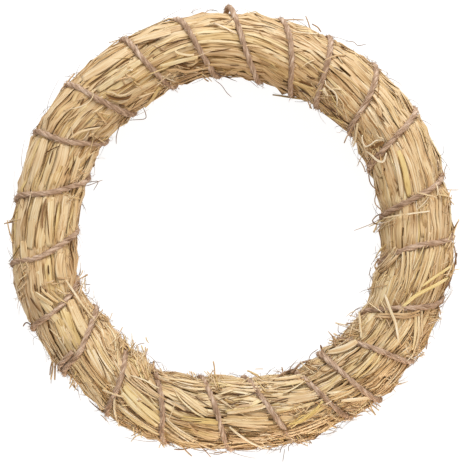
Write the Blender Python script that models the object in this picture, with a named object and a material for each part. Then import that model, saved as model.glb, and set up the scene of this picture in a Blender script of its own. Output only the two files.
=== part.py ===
"""A straw wreath: stalks of straw gathered into a ring and bound round with one length of jute twine.

Metres, +Z up. The ring lies flat on z = 0 around the Z axis. An angle round the ring starts at +X and grows
towards +Y. An angle round the bundle's section starts at the outside of the ring and grows over the top.
A place along the twine is counted in turns: a whole number is on the inside of the ring, and from there the
twine climbs over the top to the outside and goes back underneath.
"""

import math

import bpy
import numpy as np

# Driving sizes

RING_RADIUS = 0.126  # from the ring's axis to the middle of the bundle
BUNDLE_RADIUS = 0.0239  # of the bundle's section between the turns of twine
PRESSED_SHARE = 0.94  # the middle's height above the underside, as a share of the bundle's radius
STALK_RIDGE = 0.0022  # how far handfuls of stalks swell out of the bundle or sink into it, on top
SHOULDER_RIDGE_SHARE = 0.6  # of that swelling, what is left close to the twine
SIDE_RIDGE_SHARE = 0.3  # of that swelling, what is left where the bundle is widest
UNEVEN = 0.4  # the share of that swelling that differs from handful to handful
UNDERSIDE_SINE = -0.9  # of the section angle below which the stalks are pressed flat and have no ridges
TWINE_DIAMETER = 0.0035
TWINE_STANDS_OUT = 0.0011  # how far the twine stands out of the straw beside it
CLEARANCE = 0.0003  # between the twine and the straw that it presses in
GROOVE_SLOPE = math.radians(32)  # of the straw as it rises from under the twine
SLACK_TURN = 6.5  # where the twine lies slack, in turns along it
SLACK_LENGTH = 0.3  # in turns
SLACK_HEIGHT = 0.004
ENDS_MEET = (14.3, 14.5)  # the stretch where the twine's two tucked ends lie side by side, in turns
ENDS_BLEND = 0.1  # how soon they come together beyond that stretch, in turns
RING_SHIFT = (-0.0013, -0.0028)  # of the ring's axis, so that its outer limits are centred on the origin

# How the hand-made ring leaves the true round: waves round it, their height, and a crest's angle in degrees

RING_DRIFT = [
    (2, 0.00037, -19),
    (3, 0.00087, -24),
    (4, 0.00047, 29),
    (5, 0.00043, -35),
    (7, 0.00080, -11),
    (8, 0.00052, 18),
]
GIRTH_DRIFT = [(1, 0.00116, -29), (2, 0.00035, -48), (3, 0.00037, 16)]

# Each turn's angles round the ring, in degrees: up the inner side, on top, and down the outer side

TURN_ANGLES = [
    (-9.6, -4.4, -2.3),
    (6.5, 10.2, 13.6),
    (25.5, 29.5, 32.4),
    (40.6, 43.6, 47.6),
    (56.5, 59.4, 62.1),
    (67.1, 70.8, 75.2),
    (80.9, 86.0, 89.2),
    (96.4, 100.4, 103.3),
    (113.0, 116.7, 118.5),
    (131.5, 135.2, 137.5),
    (146.5, 151.5, 152.6),
    (162.3, 168.2, 170.5),
    (182.3, 187.6, 188.1),
    (200.0, 204.4, 205.8),
    (211.8, 217.6, 219.2),
    (229.0, 234.0, 235.6),
    (242.5, 249.0, 251.9),
    (260.8, 266.3, 269.2),
    (277.7, 283.3, 287.1),
    (295.5, 299.4, 302.1),
    (306.7, 308.8, 310.8),
    (316.5, 321.2, 323.7),
    (330.4, 336.3, 340.8),
]
READ_AT = (1 / 12, 3 / 12, 5 / 12)  # the places of those three angles along a turn

# The mesh

COLUMNS = 20  # round the section, and points along each turn of the twine
ROWS = 4  # of the bundle to a turn: under the twine, beside it, halfway, and beside the next turn
TWINE_BEVEL_RESOLUTION = 1  # six sides
SEED = 5

TURNS = len(TURN_ANGLES)
TWINE_RADIUS = TWINE_DIAMETER / 2
GROOVE_DEPTH = (TWINE_RADIUS + CLEARANCE) / math.cos(GROOVE_SLOPE)  # under the twine's middle
END_OFFSET = TWINE_RADIUS + CLEARANCE  # of each tucked end to its own side

SHARP_ANGLE = math.radians(50)
STRAW_COLOUR = (0.604, 0.434, 0.202, 1)
STRAW_ROUGHNESS = 0.6
JUTE_COLOUR = (0.352, 0.231, 0.147, 1)
JUTE_ROUGHNESS = 0.9


def waves(drift, ring_angle):
    """The sum of height * cos(count * (angle - crest)) over the drift's waves."""
    return sum(height * np.cos(count * (ring_angle - math.radians(crest))) for count, height, crest in drift)


def twine_angle(turn):
    """The ring angle of the twine at a place along it: a cubic Hermite curve through the turns' angles."""
    numbers = np.arange(-2, TURNS + 2)  # two turns more at each end, as the twine closes on itself
    places = np.add.outer(numbers, READ_AT).ravel()
    degrees = np.array(TURN_ANGLES)[numbers % TURNS] + 360 * (numbers // TURNS)[:, None]
    angles = np.radians(degrees).ravel()
    slopes = np.gradient(angles, places)
    rounds, place = np.divmod(turn, TURNS)
    left = np.searchsorted(places, place, side="right") - 1
    length = places[left + 1] - places[left]
    t = (place - places[left]) / length
    ahead = t * t * (3 - 2 * t)
    bend = t * (1 - t) * length * ((1 - t) * slopes[left] - t * slopes[left + 1])
    return angles[left] * (1 - ahead) + angles[left + 1] * ahead + bend + 2 * math.pi * rounds


def section_angle(turn):
    """The angle round the section along the twine: half a circle at whole turns, then down to zero."""
    return math.pi * (1 - 2 * turn)


def girth(ring_angle):
    """The bundle's radius at an angle round the ring."""
    return BUNDLE_RADIUS + waves(GIRTH_DRIFT, ring_angle)


def middle_height(ring_angle):
    """The height of the bundle's middle, which lets its underside lie flat at z = 0 all the way round."""
    return PRESSED_SHARE * girth(ring_angle)


def cut_flat(reach, around, depth):
    """A reach from the middle that goes no more than depth below it: at most depth / sin of the angle."""
    below = np.broadcast_to(-np.sin(around), np.shape(reach))
    return np.divide(depth, below, out=np.array(reach), where=below * reach > depth)


def straw_reach(ring_angle, around, ridge=0.0):
    """From the bundle's middle out to the straw, which is flat underneath."""
    return cut_flat(girth(ring_angle) + ridge, around, middle_height(ring_angle))


def twine_reach(ring_angle, around):
    """From the bundle's middle out to the middle of the twine, which stays just clear of z = 0."""
    reach = girth(ring_angle) + TWINE_STANDS_OUT - TWINE_RADIUS
    return cut_flat(reach, around, middle_height(ring_angle) - TWINE_RADIUS - CLEARANCE)


def in_space(ring_angle, around, reach):
    """Points at a reach from the bundle's middle: out from the axis by its cosine, up by its sine."""
    outward = RING_RADIUS + waves(RING_DRIFT, ring_angle) + reach * np.cos(around)
    x = outward * np.cos(ring_angle) + RING_SHIFT[0]
    y = outward * np.sin(ring_angle) + RING_SHIFT[1]
    z = middle_height(ring_angle) + reach * np.sin(around)
    return np.stack([x, y, z], axis=-1)


def smooth_step(x):
    """From 0 to 1 as x goes from 0 to 1, level at both ends."""
    x = np.clip(x, 0, 1)
    return x * x * (3 - 2 * x)


def groove_reach(ring_angle, around):
    """From the bundle's middle out to the straw right under the twine."""
    return twine_reach(ring_angle, around) - GROOVE_DEPTH


def groove_width(ring_angle, around, ridge):
    """The ring angle in which the straw rises from the groove to its full reach: rise / tan of the slope."""
    bottom = groove_reach(ring_angle, around)
    rise = straw_reach(ring_angle, around, ridge) - bottom
    return rise / math.tan(GROOVE_SLOPE) / (RING_RADIUS + bottom * np.cos(around))


def hump(x):
    """From 0 up to 1 at x = 0 and back, over the length from -1/2 to 1/2: half of 1 + cos."""
    return 0.5 + 0.5 * np.cos(2 * math.pi * np.clip(x, -0.5, 0.5))


def bundle_points():
    """The bundle's grid of turns, rows and columns. Its rows run along the twine, not straight round the
    section, so that the twine's groove is one row and the straw on both sides of it rises evenly."""
    turn = np.arange(TURNS)[:, None] + np.arange(COLUMNS)[None] / COLUMNS
    around = section_angle(turn)
    first, last = twine_angle(turn), twine_angle(turn + 1)
    handful = (-1.0) ** np.add.outer(np.arange(TURNS), np.arange(COLUMNS))
    uneven = np.random.default_rng(SEED).uniform(-UNEVEN, UNEVEN, handful.shape)
    ridge = STALK_RIDGE * (handful * (1 - UNEVEN) + uneven) * (np.sin(around) > UNDERSIDE_SINE)
    ridge = ridge * (SIDE_RIDGE_SHARE + (1 - SIDE_RIDGE_SHARE) * np.abs(np.sin(around)))
    beside = ridge * SHOULDER_RIDGE_SHARE
    after_first = first + groove_width(first, around, beside)
    before_last = last - groove_width(last, around, beside)
    halfway = (first + last) / 2
    rows = [
        in_space(first, around, groove_reach(first, around)),
        in_space(after_first, around, straw_reach(after_first, around, beside)),
        in_space(halfway, around, straw_reach(halfway, around, ridge)),
        in_space(before_last, around, straw_reach(before_last, around, beside)),
    ]
    return np.stack(rows, axis=1)


def bundle_faces():
    """Four-sided faces. The last column joins the next turn's first one, as the rows follow the twine."""
    rows_in_all = TURNS * ROWS
    row, column = np.meshgrid(np.arange(rows_in_all), np.arange(COLUMNS), indexing="ij")

    def corner(down, along):
        past_seam = column + along == COLUMNS
        turned_row = (row + down + ROWS * past_seam) % rows_in_all
        return turned_row * COLUMNS + (column + along) % COLUMNS

    faces = np.stack([corner(0, 0), corner(0, 1), corner(1, 1), corner(1, 0)], axis=-1)
    return faces.reshape(-1, 4)


def twine_points():
    """The middle of the twine from end to end: a whole round and the stretch that its two ends share."""
    start, stop = ENDS_MEET[0], ENDS_MEET[1] + TURNS
    turn = np.linspace(start, stop, round((stop - start) * COLUMNS) + 1)
    around = section_angle(turn)
    angle = twine_angle(turn)
    first_end = smooth_step((ENDS_MEET[1] + ENDS_BLEND - turn) / ENDS_BLEND)
    last_end = smooth_step((turn - (ENDS_MEET[0] + TURNS - ENDS_BLEND)) / ENDS_BLEND)
    slack = hump((turn - SLACK_TURN - TURNS) / SLACK_LENGTH)
    reach = twine_reach(angle, around) + SLACK_HEIGHT * slack
    reach = reach + END_OFFSET * math.tan(GROOVE_SLOPE) * (first_end + last_end)
    aside = END_OFFSET * (last_end - first_end) / (RING_RADIUS + reach * np.cos(around))
    return in_space(angle + aside, around, reach)


def material(name, colour, roughness):
    made = bpy.data.materials.new(name)
    made.use_nodes = True
    shader = made.node_tree.nodes["Principled BSDF"]
    shader.inputs["Base Color"].default_value = colour
    shader.inputs["Roughness"].default_value = roughness
    shader.inputs["Metallic"].default_value = 0
    return made


def add_object(name, data, look, collection):
    data.materials.append(look)
    made = bpy.data.objects.new(name, data)
    collection.objects.link(made)
    return made


def straw_bundle(collection):
    """The ring of straw: one closed body, swelling between the turns of twine and flat underneath."""
    mesh = bpy.data.meshes.new("straw_bundle")
    mesh.from_pydata(bundle_points().reshape(-1, 3).tolist(), [], bundle_faces().tolist())
    mesh.validate()
    mesh.shade_smooth()
    mesh.set_sharp_from_angle(angle=SHARP_ANGLE)
    return add_object("straw_bundle", mesh, material("straw", STRAW_COLOUR, STRAW_ROUGHNESS), collection)


def jute_twine(collection):
    """The twine: one length from its first tucked end to its last."""
    points = twine_points()
    curve = bpy.data.curves.new("jute_twine", "CURVE")
    curve.dimensions = "3D"
    curve.bevel_depth = TWINE_RADIUS
    curve.bevel_resolution = TWINE_BEVEL_RESOLUTION
    curve.use_fill_caps = True
    spline = curve.splines.new("POLY")
    spline.points.add(len(points) - 1)
    spline.points.foreach_set("co", np.column_stack([points, np.ones(len(points))]).ravel())
    spline.use_smooth = True
    return add_object("jute_twine", curve, material("jute", JUTE_COLOUR, JUTE_ROUGHNESS), collection)


def main():
    for old in list(bpy.data.objects):
        bpy.data.objects.remove(old)
    wreath = bpy.data.collections.new("straw_wreath")
    bpy.context.scene.collection.children.link(wreath)
    straw_bundle(wreath)
    jute_twine(wreath)


main()
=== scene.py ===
# %% [markdown]
# # A straw wreath bound with jute twine
# The real wreath is a thick ring of dry cereal straw. Hundreds of flattened stalks and leaf sheaths lie
# round the ring, and one length of jute twine is wound over them in 23 turns and pulled tight. The packed
# model gives the ring's size and the place of every turn. This lesson covers that plain form with single
# stalks, blades, loose ends and a twine of three strands, and gives them materials that show how straw and
# jute are built.

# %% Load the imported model
import math

import bpy
import numpy as np
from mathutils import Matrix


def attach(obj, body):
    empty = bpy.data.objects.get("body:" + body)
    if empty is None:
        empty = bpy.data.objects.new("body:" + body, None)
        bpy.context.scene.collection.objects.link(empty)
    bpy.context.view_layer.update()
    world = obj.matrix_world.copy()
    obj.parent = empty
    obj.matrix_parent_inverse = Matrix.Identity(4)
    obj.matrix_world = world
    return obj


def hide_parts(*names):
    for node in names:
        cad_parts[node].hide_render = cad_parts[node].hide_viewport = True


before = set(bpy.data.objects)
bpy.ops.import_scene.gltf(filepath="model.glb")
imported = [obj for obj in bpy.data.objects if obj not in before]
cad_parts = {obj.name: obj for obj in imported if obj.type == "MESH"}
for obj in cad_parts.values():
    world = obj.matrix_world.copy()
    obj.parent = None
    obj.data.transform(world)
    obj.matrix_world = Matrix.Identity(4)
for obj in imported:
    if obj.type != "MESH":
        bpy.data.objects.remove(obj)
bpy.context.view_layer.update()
print("packed pieces:", sorted(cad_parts))

# %% [markdown]
# ## The camera
# The wreath lies on its back and is seen from straight above. A long lens keeps the ring's walls from
# leaning outwards, so we place the camera high and narrow its view: the lens length is the sensor's width
# times the distance, divided by the width that the picture takes in.

# %% Place the camera
RING_SHIFT = (-0.0013, -0.0028)  # of the ring's axis from the origin, in metres
MIDDLE = 0.0225  # the height of the bundle's middle
PICTURE_SIDE = 470  # pixels
PICTURE_WIDTH = 0.3182  # metres that the picture takes in, at the height of the bundle's middle
RING_CENTRE = (230.3, 231.06)  # the ring's axis in the picture, in pixels
CAMERA_DISTANCE = 1.5  # above the bundle's middle
SENSOR_WIDTH = 36  # mm


def into_scene(name, data):
    """Makes an object of a mesh, a lamp or a camera and links it to the scene."""
    thing = bpy.data.objects.new(name, data)
    bpy.context.scene.collection.objects.link(thing)
    return thing


metres_per_pixel = PICTURE_WIDTH / PICTURE_SIDE
camera_data = bpy.data.cameras.new("camera")
camera_data.sensor_width = SENSOR_WIDTH
camera_data.lens = SENSOR_WIDTH * CAMERA_DISTANCE / PICTURE_WIDTH
camera = into_scene("camera", camera_data)
camera.location = (
    RING_SHIFT[0] + (PICTURE_SIDE / 2 - RING_CENTRE[0]) * metres_per_pixel,
    RING_SHIFT[1] - (PICTURE_SIDE / 2 - RING_CENTRE[1]) * metres_per_pixel,
    MIDDLE + CAMERA_DISTANCE,
)
bpy.context.scene.camera = camera
print("lens, mm:", round(camera_data.lens, 1))

# %% [markdown]
# ## Where things are on a wreath
# Three numbers say where a point of the bundle is: the angle round the ring, the angle round the bundle's
# section, which starts at the outside and grows over the top, and the reach from the bundle's middle. These
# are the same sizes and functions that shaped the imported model, so straw and twine meet where the solids
# meet. A hand-made ring isn't truly round: a few slow waves round it move the bundle's middle in and out
# and make the bundle thicker or thinner. Each turn of twine is known by three angles round the ring: on its
# way up the inner side, on top, and on its way down the outer side.

# %% The wreath's sizes
MM = 0.001  # in metres, as all lengths are where nothing else is said
RING_RADIUS = 0.126  # from the ring's axis to the middle of the bundle
BUNDLE_RADIUS = 0.0239
PRESSED_SHARE = 0.94  # the middle's height above the underside, as a share of the bundle's radius
TWINE_RADIUS = 0.00175
TWINE_STANDS_OUT = 0.0011  # how far the twine stands out of the straw beside it
CLEARANCE = 0.0003  # between the twine and what lies under it
# Waves: how many round the ring, their height, and a crest's angle in degrees
RING_DRIFT = [
    (2, 0.00037, -19),
    (3, 0.00087, -24),
    (4, 0.00047, 29),
    (5, 0.00043, -35),
    (7, 0.00080, -11),
    (8, 0.00052, 18),
]
GIRTH_DRIFT = [(1, 0.00116, -29), (2, 0.00035, -48), (3, 0.00037, 16)]
TURN_ANGLES = [
    (-9.6, -4.4, -2.3),
    (6.5, 10.2, 13.6),
    (25.5, 29.5, 32.4),
    (40.6, 43.6, 47.6),
    (56.5, 59.4, 62.1),
    (67.1, 70.8, 75.2),
    (80.9, 86.0, 89.2),
    (96.4, 100.4, 103.3),
    (113.0, 116.7, 118.5),
    (131.5, 135.2, 137.5),
    (146.5, 151.5, 152.6),
    (162.3, 168.2, 170.5),
    (182.3, 187.6, 188.1),
    (200.0, 204.4, 205.8),
    (211.8, 217.6, 219.2),
    (229.0, 234.0, 235.6),
    (242.5, 249.0, 251.9),
    (260.8, 266.3, 269.2),
    (277.7, 283.3, 287.1),
    (295.5, 299.4, 302.1),
    (306.7, 308.8, 310.8),
    (316.5, 321.2, 323.7),
    (330.4, 336.3, 340.8),
]
READ_AT = (1 / 12, 3 / 12, 5 / 12)  # the places of those three angles along a turn
TURNS = len(TURN_ANGLES)
print("turns of twine:", TURNS)

# %% [markdown]
# ## From three numbers to a point
# With the waves and the turns known, a few short functions take us from the three numbers to a point in
# space and back to the twine. Stalks lie along the ring and are pinched under every turn of twine, so it is
# handy to count along the ring in turns too: at a whole number we are under the twine, and halfway between
# two whole numbers the straw swells. A place along the ring, seen at some section angle, lies on the
# straight way from one turn to the next.

# %% The ring's own coordinates
def waves(drift, ring_angle):
    """The sum of height * cos(count * (angle - crest)) over the drift's waves."""
    return sum(height * np.cos(count * (ring_angle - math.radians(crest))) for count, height, crest in drift)


def twine_angle(turn):
    """The ring angle of the twine at a place along it: a cubic Hermite curve through the turns' angles."""
    numbers = np.arange(-2, TURNS + 2)
    places = np.add.outer(numbers, READ_AT).ravel()
    degrees = np.array(TURN_ANGLES)[numbers % TURNS] + 360 * (numbers // TURNS)[:, None]
    angles = np.radians(degrees).ravel()
    slopes = np.gradient(angles, places)
    rounds, place = np.divmod(turn, TURNS)
    left = np.searchsorted(places, place, side="right") - 1
    length = places[left + 1] - places[left]
    t = (place - places[left]) / length
    ahead = t * t * (3 - 2 * t)
    bend = t * (1 - t) * length * ((1 - t) * slopes[left] - t * slopes[left + 1])
    return angles[left] * (1 - ahead) + angles[left + 1] * ahead + bend + 2 * math.pi * rounds


def ring_centre_radius(ring_angle):
    """From the ring's axis to the middle of the bundle."""
    return RING_RADIUS + waves(RING_DRIFT, ring_angle)


def girth(ring_angle):
    """The bundle's radius at an angle round the ring."""
    return BUNDLE_RADIUS + waves(GIRTH_DRIFT, ring_angle)


def middle_height(ring_angle):
    """The height of the bundle's middle, which lets its underside lie flat at z = 0."""
    return PRESSED_SHARE * girth(ring_angle)


def cut_flat(reach, around, depth):
    """A reach from the middle that goes no more than depth below it: at most depth / sin of the angle."""
    below = np.broadcast_to(-np.sin(around), np.shape(reach))
    return np.divide(depth, below, out=np.array(reach), where=below * reach > depth)


def in_space(ring_angle, around, reach):
    """Points at a reach from the bundle's middle: out from the axis by its cosine, up by its sine."""
    outward = ring_centre_radius(ring_angle) + reach * np.cos(around)
    x = outward * np.cos(ring_angle) + RING_SHIFT[0]
    y = outward * np.sin(ring_angle) + RING_SHIFT[1]
    z = middle_height(ring_angle) + reach * np.sin(around)
    return np.stack([x, y, z], axis=-1)


def away_from_middle(ring_angle, around):
    """The direction straight out of the bundle: cosine of the section angle outwards, its sine upwards."""
    out = np.cos(around)
    return np.stack([out * np.cos(ring_angle), out * np.sin(ring_angle), np.sin(around)], axis=-1)


def ring_angle_at(place, around):
    """The ring angle of a place counted in turns, on the straight way from the turn before to the turn
    after."""
    before = np.floor(place) + (1 - around / math.pi) / 2
    share = place - np.floor(place)
    return (1 - share) * twine_angle(before) + share * twine_angle(before + 1)


def gap_to_twine(place, around):
    """How far along the ring the nearest turn of twine is: the share of the way, times the way's length."""
    before = np.floor(place) + (1 - around / math.pi) / 2
    share = place - np.floor(place)
    way = (twine_angle(before + 1) - twine_angle(before)) * (RING_RADIUS + BUNDLE_RADIUS * np.cos(around))
    return np.minimum(share, 1 - share) * way


ring_ends = in_space(np.array([0.0, math.pi]), 0.0, BUNDLE_RADIUS)
print("across the wreath, mm:", round(float(ring_ends[0, 0] - ring_ends[1, 0]) / MM))

# %% [markdown]
# ## How the straw swells and is pinched
# A handful of stalks pushes out of the bundle in one spot and sinks in the next. A sum of random waves
# round the ring and round the section gives such soft lumps, and whole numbers of waves make it close on
# itself. Near the twine the straw is pressed towards the middle. The press falls off with distance as
# exp(-(d / length)^p). Where the twine was pulled hardest, the wreath's outline is dented on one side, and
# between such places it bulges.

# %% Swell and press
SWELL = 0.0008  # how far the lumps rise or sink
SWELL_WAVES = 40
PRESS_DEPTH = 0.17  # share of the straw's thickness above the hard inside that the twine takes away
PRESS_LENGTH = 0.0036
PRESS_POWER = 1.35
HARD_INSIDE = 0.0150  # the reach below which the straw is already packed hard
SINK = 0.0010  # how far the stalks' middles lie below the solid's surface
LOWEST_MIDDLE = 0.0012  # how high the middles of the lowest stalks lie
MOST_RAISED = 0.004  # how much higher than that the deepest ones lie, at the most
# Dents: degrees round the ring, outer side 1 or inner side -1, length in degrees, depth in mm.
# A depth below 0 is a bulge.
DENTS = [
    (8, -1, 12, 1.6), (15, 1, 4, 2.0), (39, -1, 4, 1.8), (66, -1, 6, -1.5), (101, 1, 12, 2.6),
    (200, -1, 6, 2.4), (225, 1, 5, 1.5), (228, -1, 3, 1.8), (235.5, -1, 3, -2.2), (241, -1, 6, 2.6),
    (268, -1, 5, -1.0), (282, 1, 5, 2.2), (294, -1, 4, 1.4), (299, 1, 7, 1.8), (302, -1, 5, 1.4),
    (309, -1, 3, -2.0), (313, 1, 6, -2.4), (315, -1, 5, 1.8), (330, -1, 8, 2.0), (342, -1, 5, -1.4),
    (344, 1, 6, 1.6), (351, -1, 4, 1.6), (352, 1, 4, -1.6),
]

swell_dice = np.random.default_rng(3)
swell_along = swell_dice.integers(6, 70, SWELL_WAVES)
swell_around = swell_dice.integers(-9, 10, SWELL_WAVES)
swell_start = swell_dice.uniform(0, 2 * math.pi, SWELL_WAVES)


def swell(ring_angle, around):
    """Lumps in the straw: the sum of many waves of random count and start, scaled to SWELL."""
    total = np.zeros(np.broadcast(ring_angle, around).shape)
    for along, about, start in zip(swell_along, swell_around, swell_start):
        total += np.cos(along * ring_angle + about * around + start)
    return SWELL * total * math.sqrt(2 / SWELL_WAVES)


def dent(ring_angle, around):
    """How far the outline is dented: the sum of depth * exp(-(angle / length)^2) * how squarely the side is
    met."""
    total = np.zeros(np.broadcast(ring_angle, around).shape)
    for degrees, side, length, depth in DENTS:
        off = (np.degrees(ring_angle) - degrees + 180) % 360 - 180
        total += depth * MM * np.exp(-((off / length) ** 2)) * np.clip(side * np.cos(around), 0, 1)
    return total


def press(place, around):
    """How hard the twine presses here, from 0 to 1: exp(-(distance / length) ^ power)."""
    return np.exp(-((gap_to_twine(place, around) / PRESS_LENGTH) ** PRESS_POWER))


def straw_point(place, around, below):
    """A point in the straw, given how far it lies below the loose surface: the reach above the hard inside,
    less the twine's press, and cut off flat underneath. Returns the ring angle and the reach."""
    ring_angle = ring_angle_at(place, around)
    free = girth(ring_angle) + swell(ring_angle, around) - dent(ring_angle, around) - SINK - below
    reach = HARD_INSIDE + (free - HARD_INSIDE) * (1 - PRESS_DEPTH * press(place, around))
    depth = middle_height(ring_angle) - LOWEST_MIDDLE - np.clip(below, 0, MOST_RAISED)
    return ring_angle, cut_flat(reach, around, depth)


top = np.array([math.pi / 2])
for where, place in (("between turns", 2.5), ("under a turn", 2.0)):
    ring_angle, reach = straw_point(np.array([place]), top, 0.0)
    height = float(in_space(ring_angle, top, reach)[0, 2])
    print("height of the straw " + where + ", mm:", round(height / MM, 1))

# %% [markdown]
# ## Colours and nodes
# Colours are picked as the screen shows them, as hex values, but a shader works with linear light. One
# function turns the first into the second: divide by 12.92 near black, and raise ((c + 0.055) / 1.055) to
# 2.4 above. Another small function adds a node with its settings and links, so a material reads as a list
# of its nodes. The other two start a material and give a Color Ramp its colours.

# %% Small helpers for materials
def linear(hex_colour):
    """An sRGB hex colour as linear red, green, blue and alpha."""
    channels = [int(hex_colour[i:i + 2], 16) / 255 for i in (1, 3, 5)]
    return [c / 12.92 if c <= 0.04045 else ((c + 0.055) / 1.055) ** 2.4 for c in channels] + [1.0]


def new_look(name):
    """Makes a material. Returns it with its node tree and its Principled shader."""
    look = bpy.data.materials.new(name)
    look.use_nodes = True
    return look, look.node_tree, look.node_tree.nodes["Principled BSDF"]


def add_node(tree, kind, settings=None, **inputs):
    """Adds a node. Settings are its own properties. Inputs are values or the sockets that feed it, called
    by the socket's name with underscores for spaces, or by n and the socket's number where names repeat."""
    node = tree.nodes.new(kind)
    for name, value in (settings or {}).items():
        setattr(node, name, value)
    for name, value in inputs.items():
        key = int(name[1:]) if name[0] == "n" and name[1:].isdigit() else name.replace("_", " ")
        if isinstance(value, bpy.types.NodeSocket):
            tree.links.new(value, node.inputs[key])
        else:
            node.inputs[key].default_value = value
    return node


def set_stops(ramp, stops):
    """Gives a Color Ramp node its colours: a list of positions and hex colours."""
    while len(ramp.color_ramp.elements) < len(stops):
        ramp.color_ramp.elements.new(1.0)
    for element, (position, colour) in zip(ramp.color_ramp.elements, stops):
        element.position = position
        element.color = linear(colour)


print("half-bright grey in linear light:", round(linear("#808080")[0], 3))

# %% [markdown]
# ## The straw material
# Straw is the dried stem and leaf sheath of barley or wheat. Its skin is a thin layer of waxy, glassy
# cells, which gives a soft satin gloss, and under it fine fibres run the length of the stalk, a third of a
# millimetre apart. The fibres show as streaks that are long along the stalk and narrow across it, so the
# pattern must follow each stalk. Every stalk's mesh carries a "grain" attribute for that: how far across,
# how far along, and a number of its own. Three more attributes say how light or dark that stalk has dried,
# whether it leans to green or to brown, and how near its edge we are, where the material paints shade.
#
# The material adds all that to one lightness from 0 to 1: the stalk's tone, streaks, broader blotches, thin
# dark lines where the flattened stalk has split, and painted shade that darkens each stalk towards its
# edges. A split lies where a slow noise passes through one half, because that makes long thin lines. Three
# Color Ramps turn the lightness into a golden, a greenish and a brownish straw, and the tint mixes them.

# %% The straw material
FIBRE_SPACING = 0.0009  # metres across the stalk, drawn coarser than the real 0.3 mm so that it shows
FIBRE_LENGTH = 0.03
SPLIT_SPACING = 0.0022  # metres between the fine dark lines where a flattened stalk has split
SPLIT_LENGTH = 0.05
BLOTCH_WIDTH = 0.004
BLOTCH_LENGTH = 0.018
# How much each of them changes the lightness
STREAKS = 0.15
BLOTCHES = 0.09
SPLITS = 0.26
# Painted shade: how much darker a stalk is made towards its edges
EDGE_SHADE = 0.13


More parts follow.
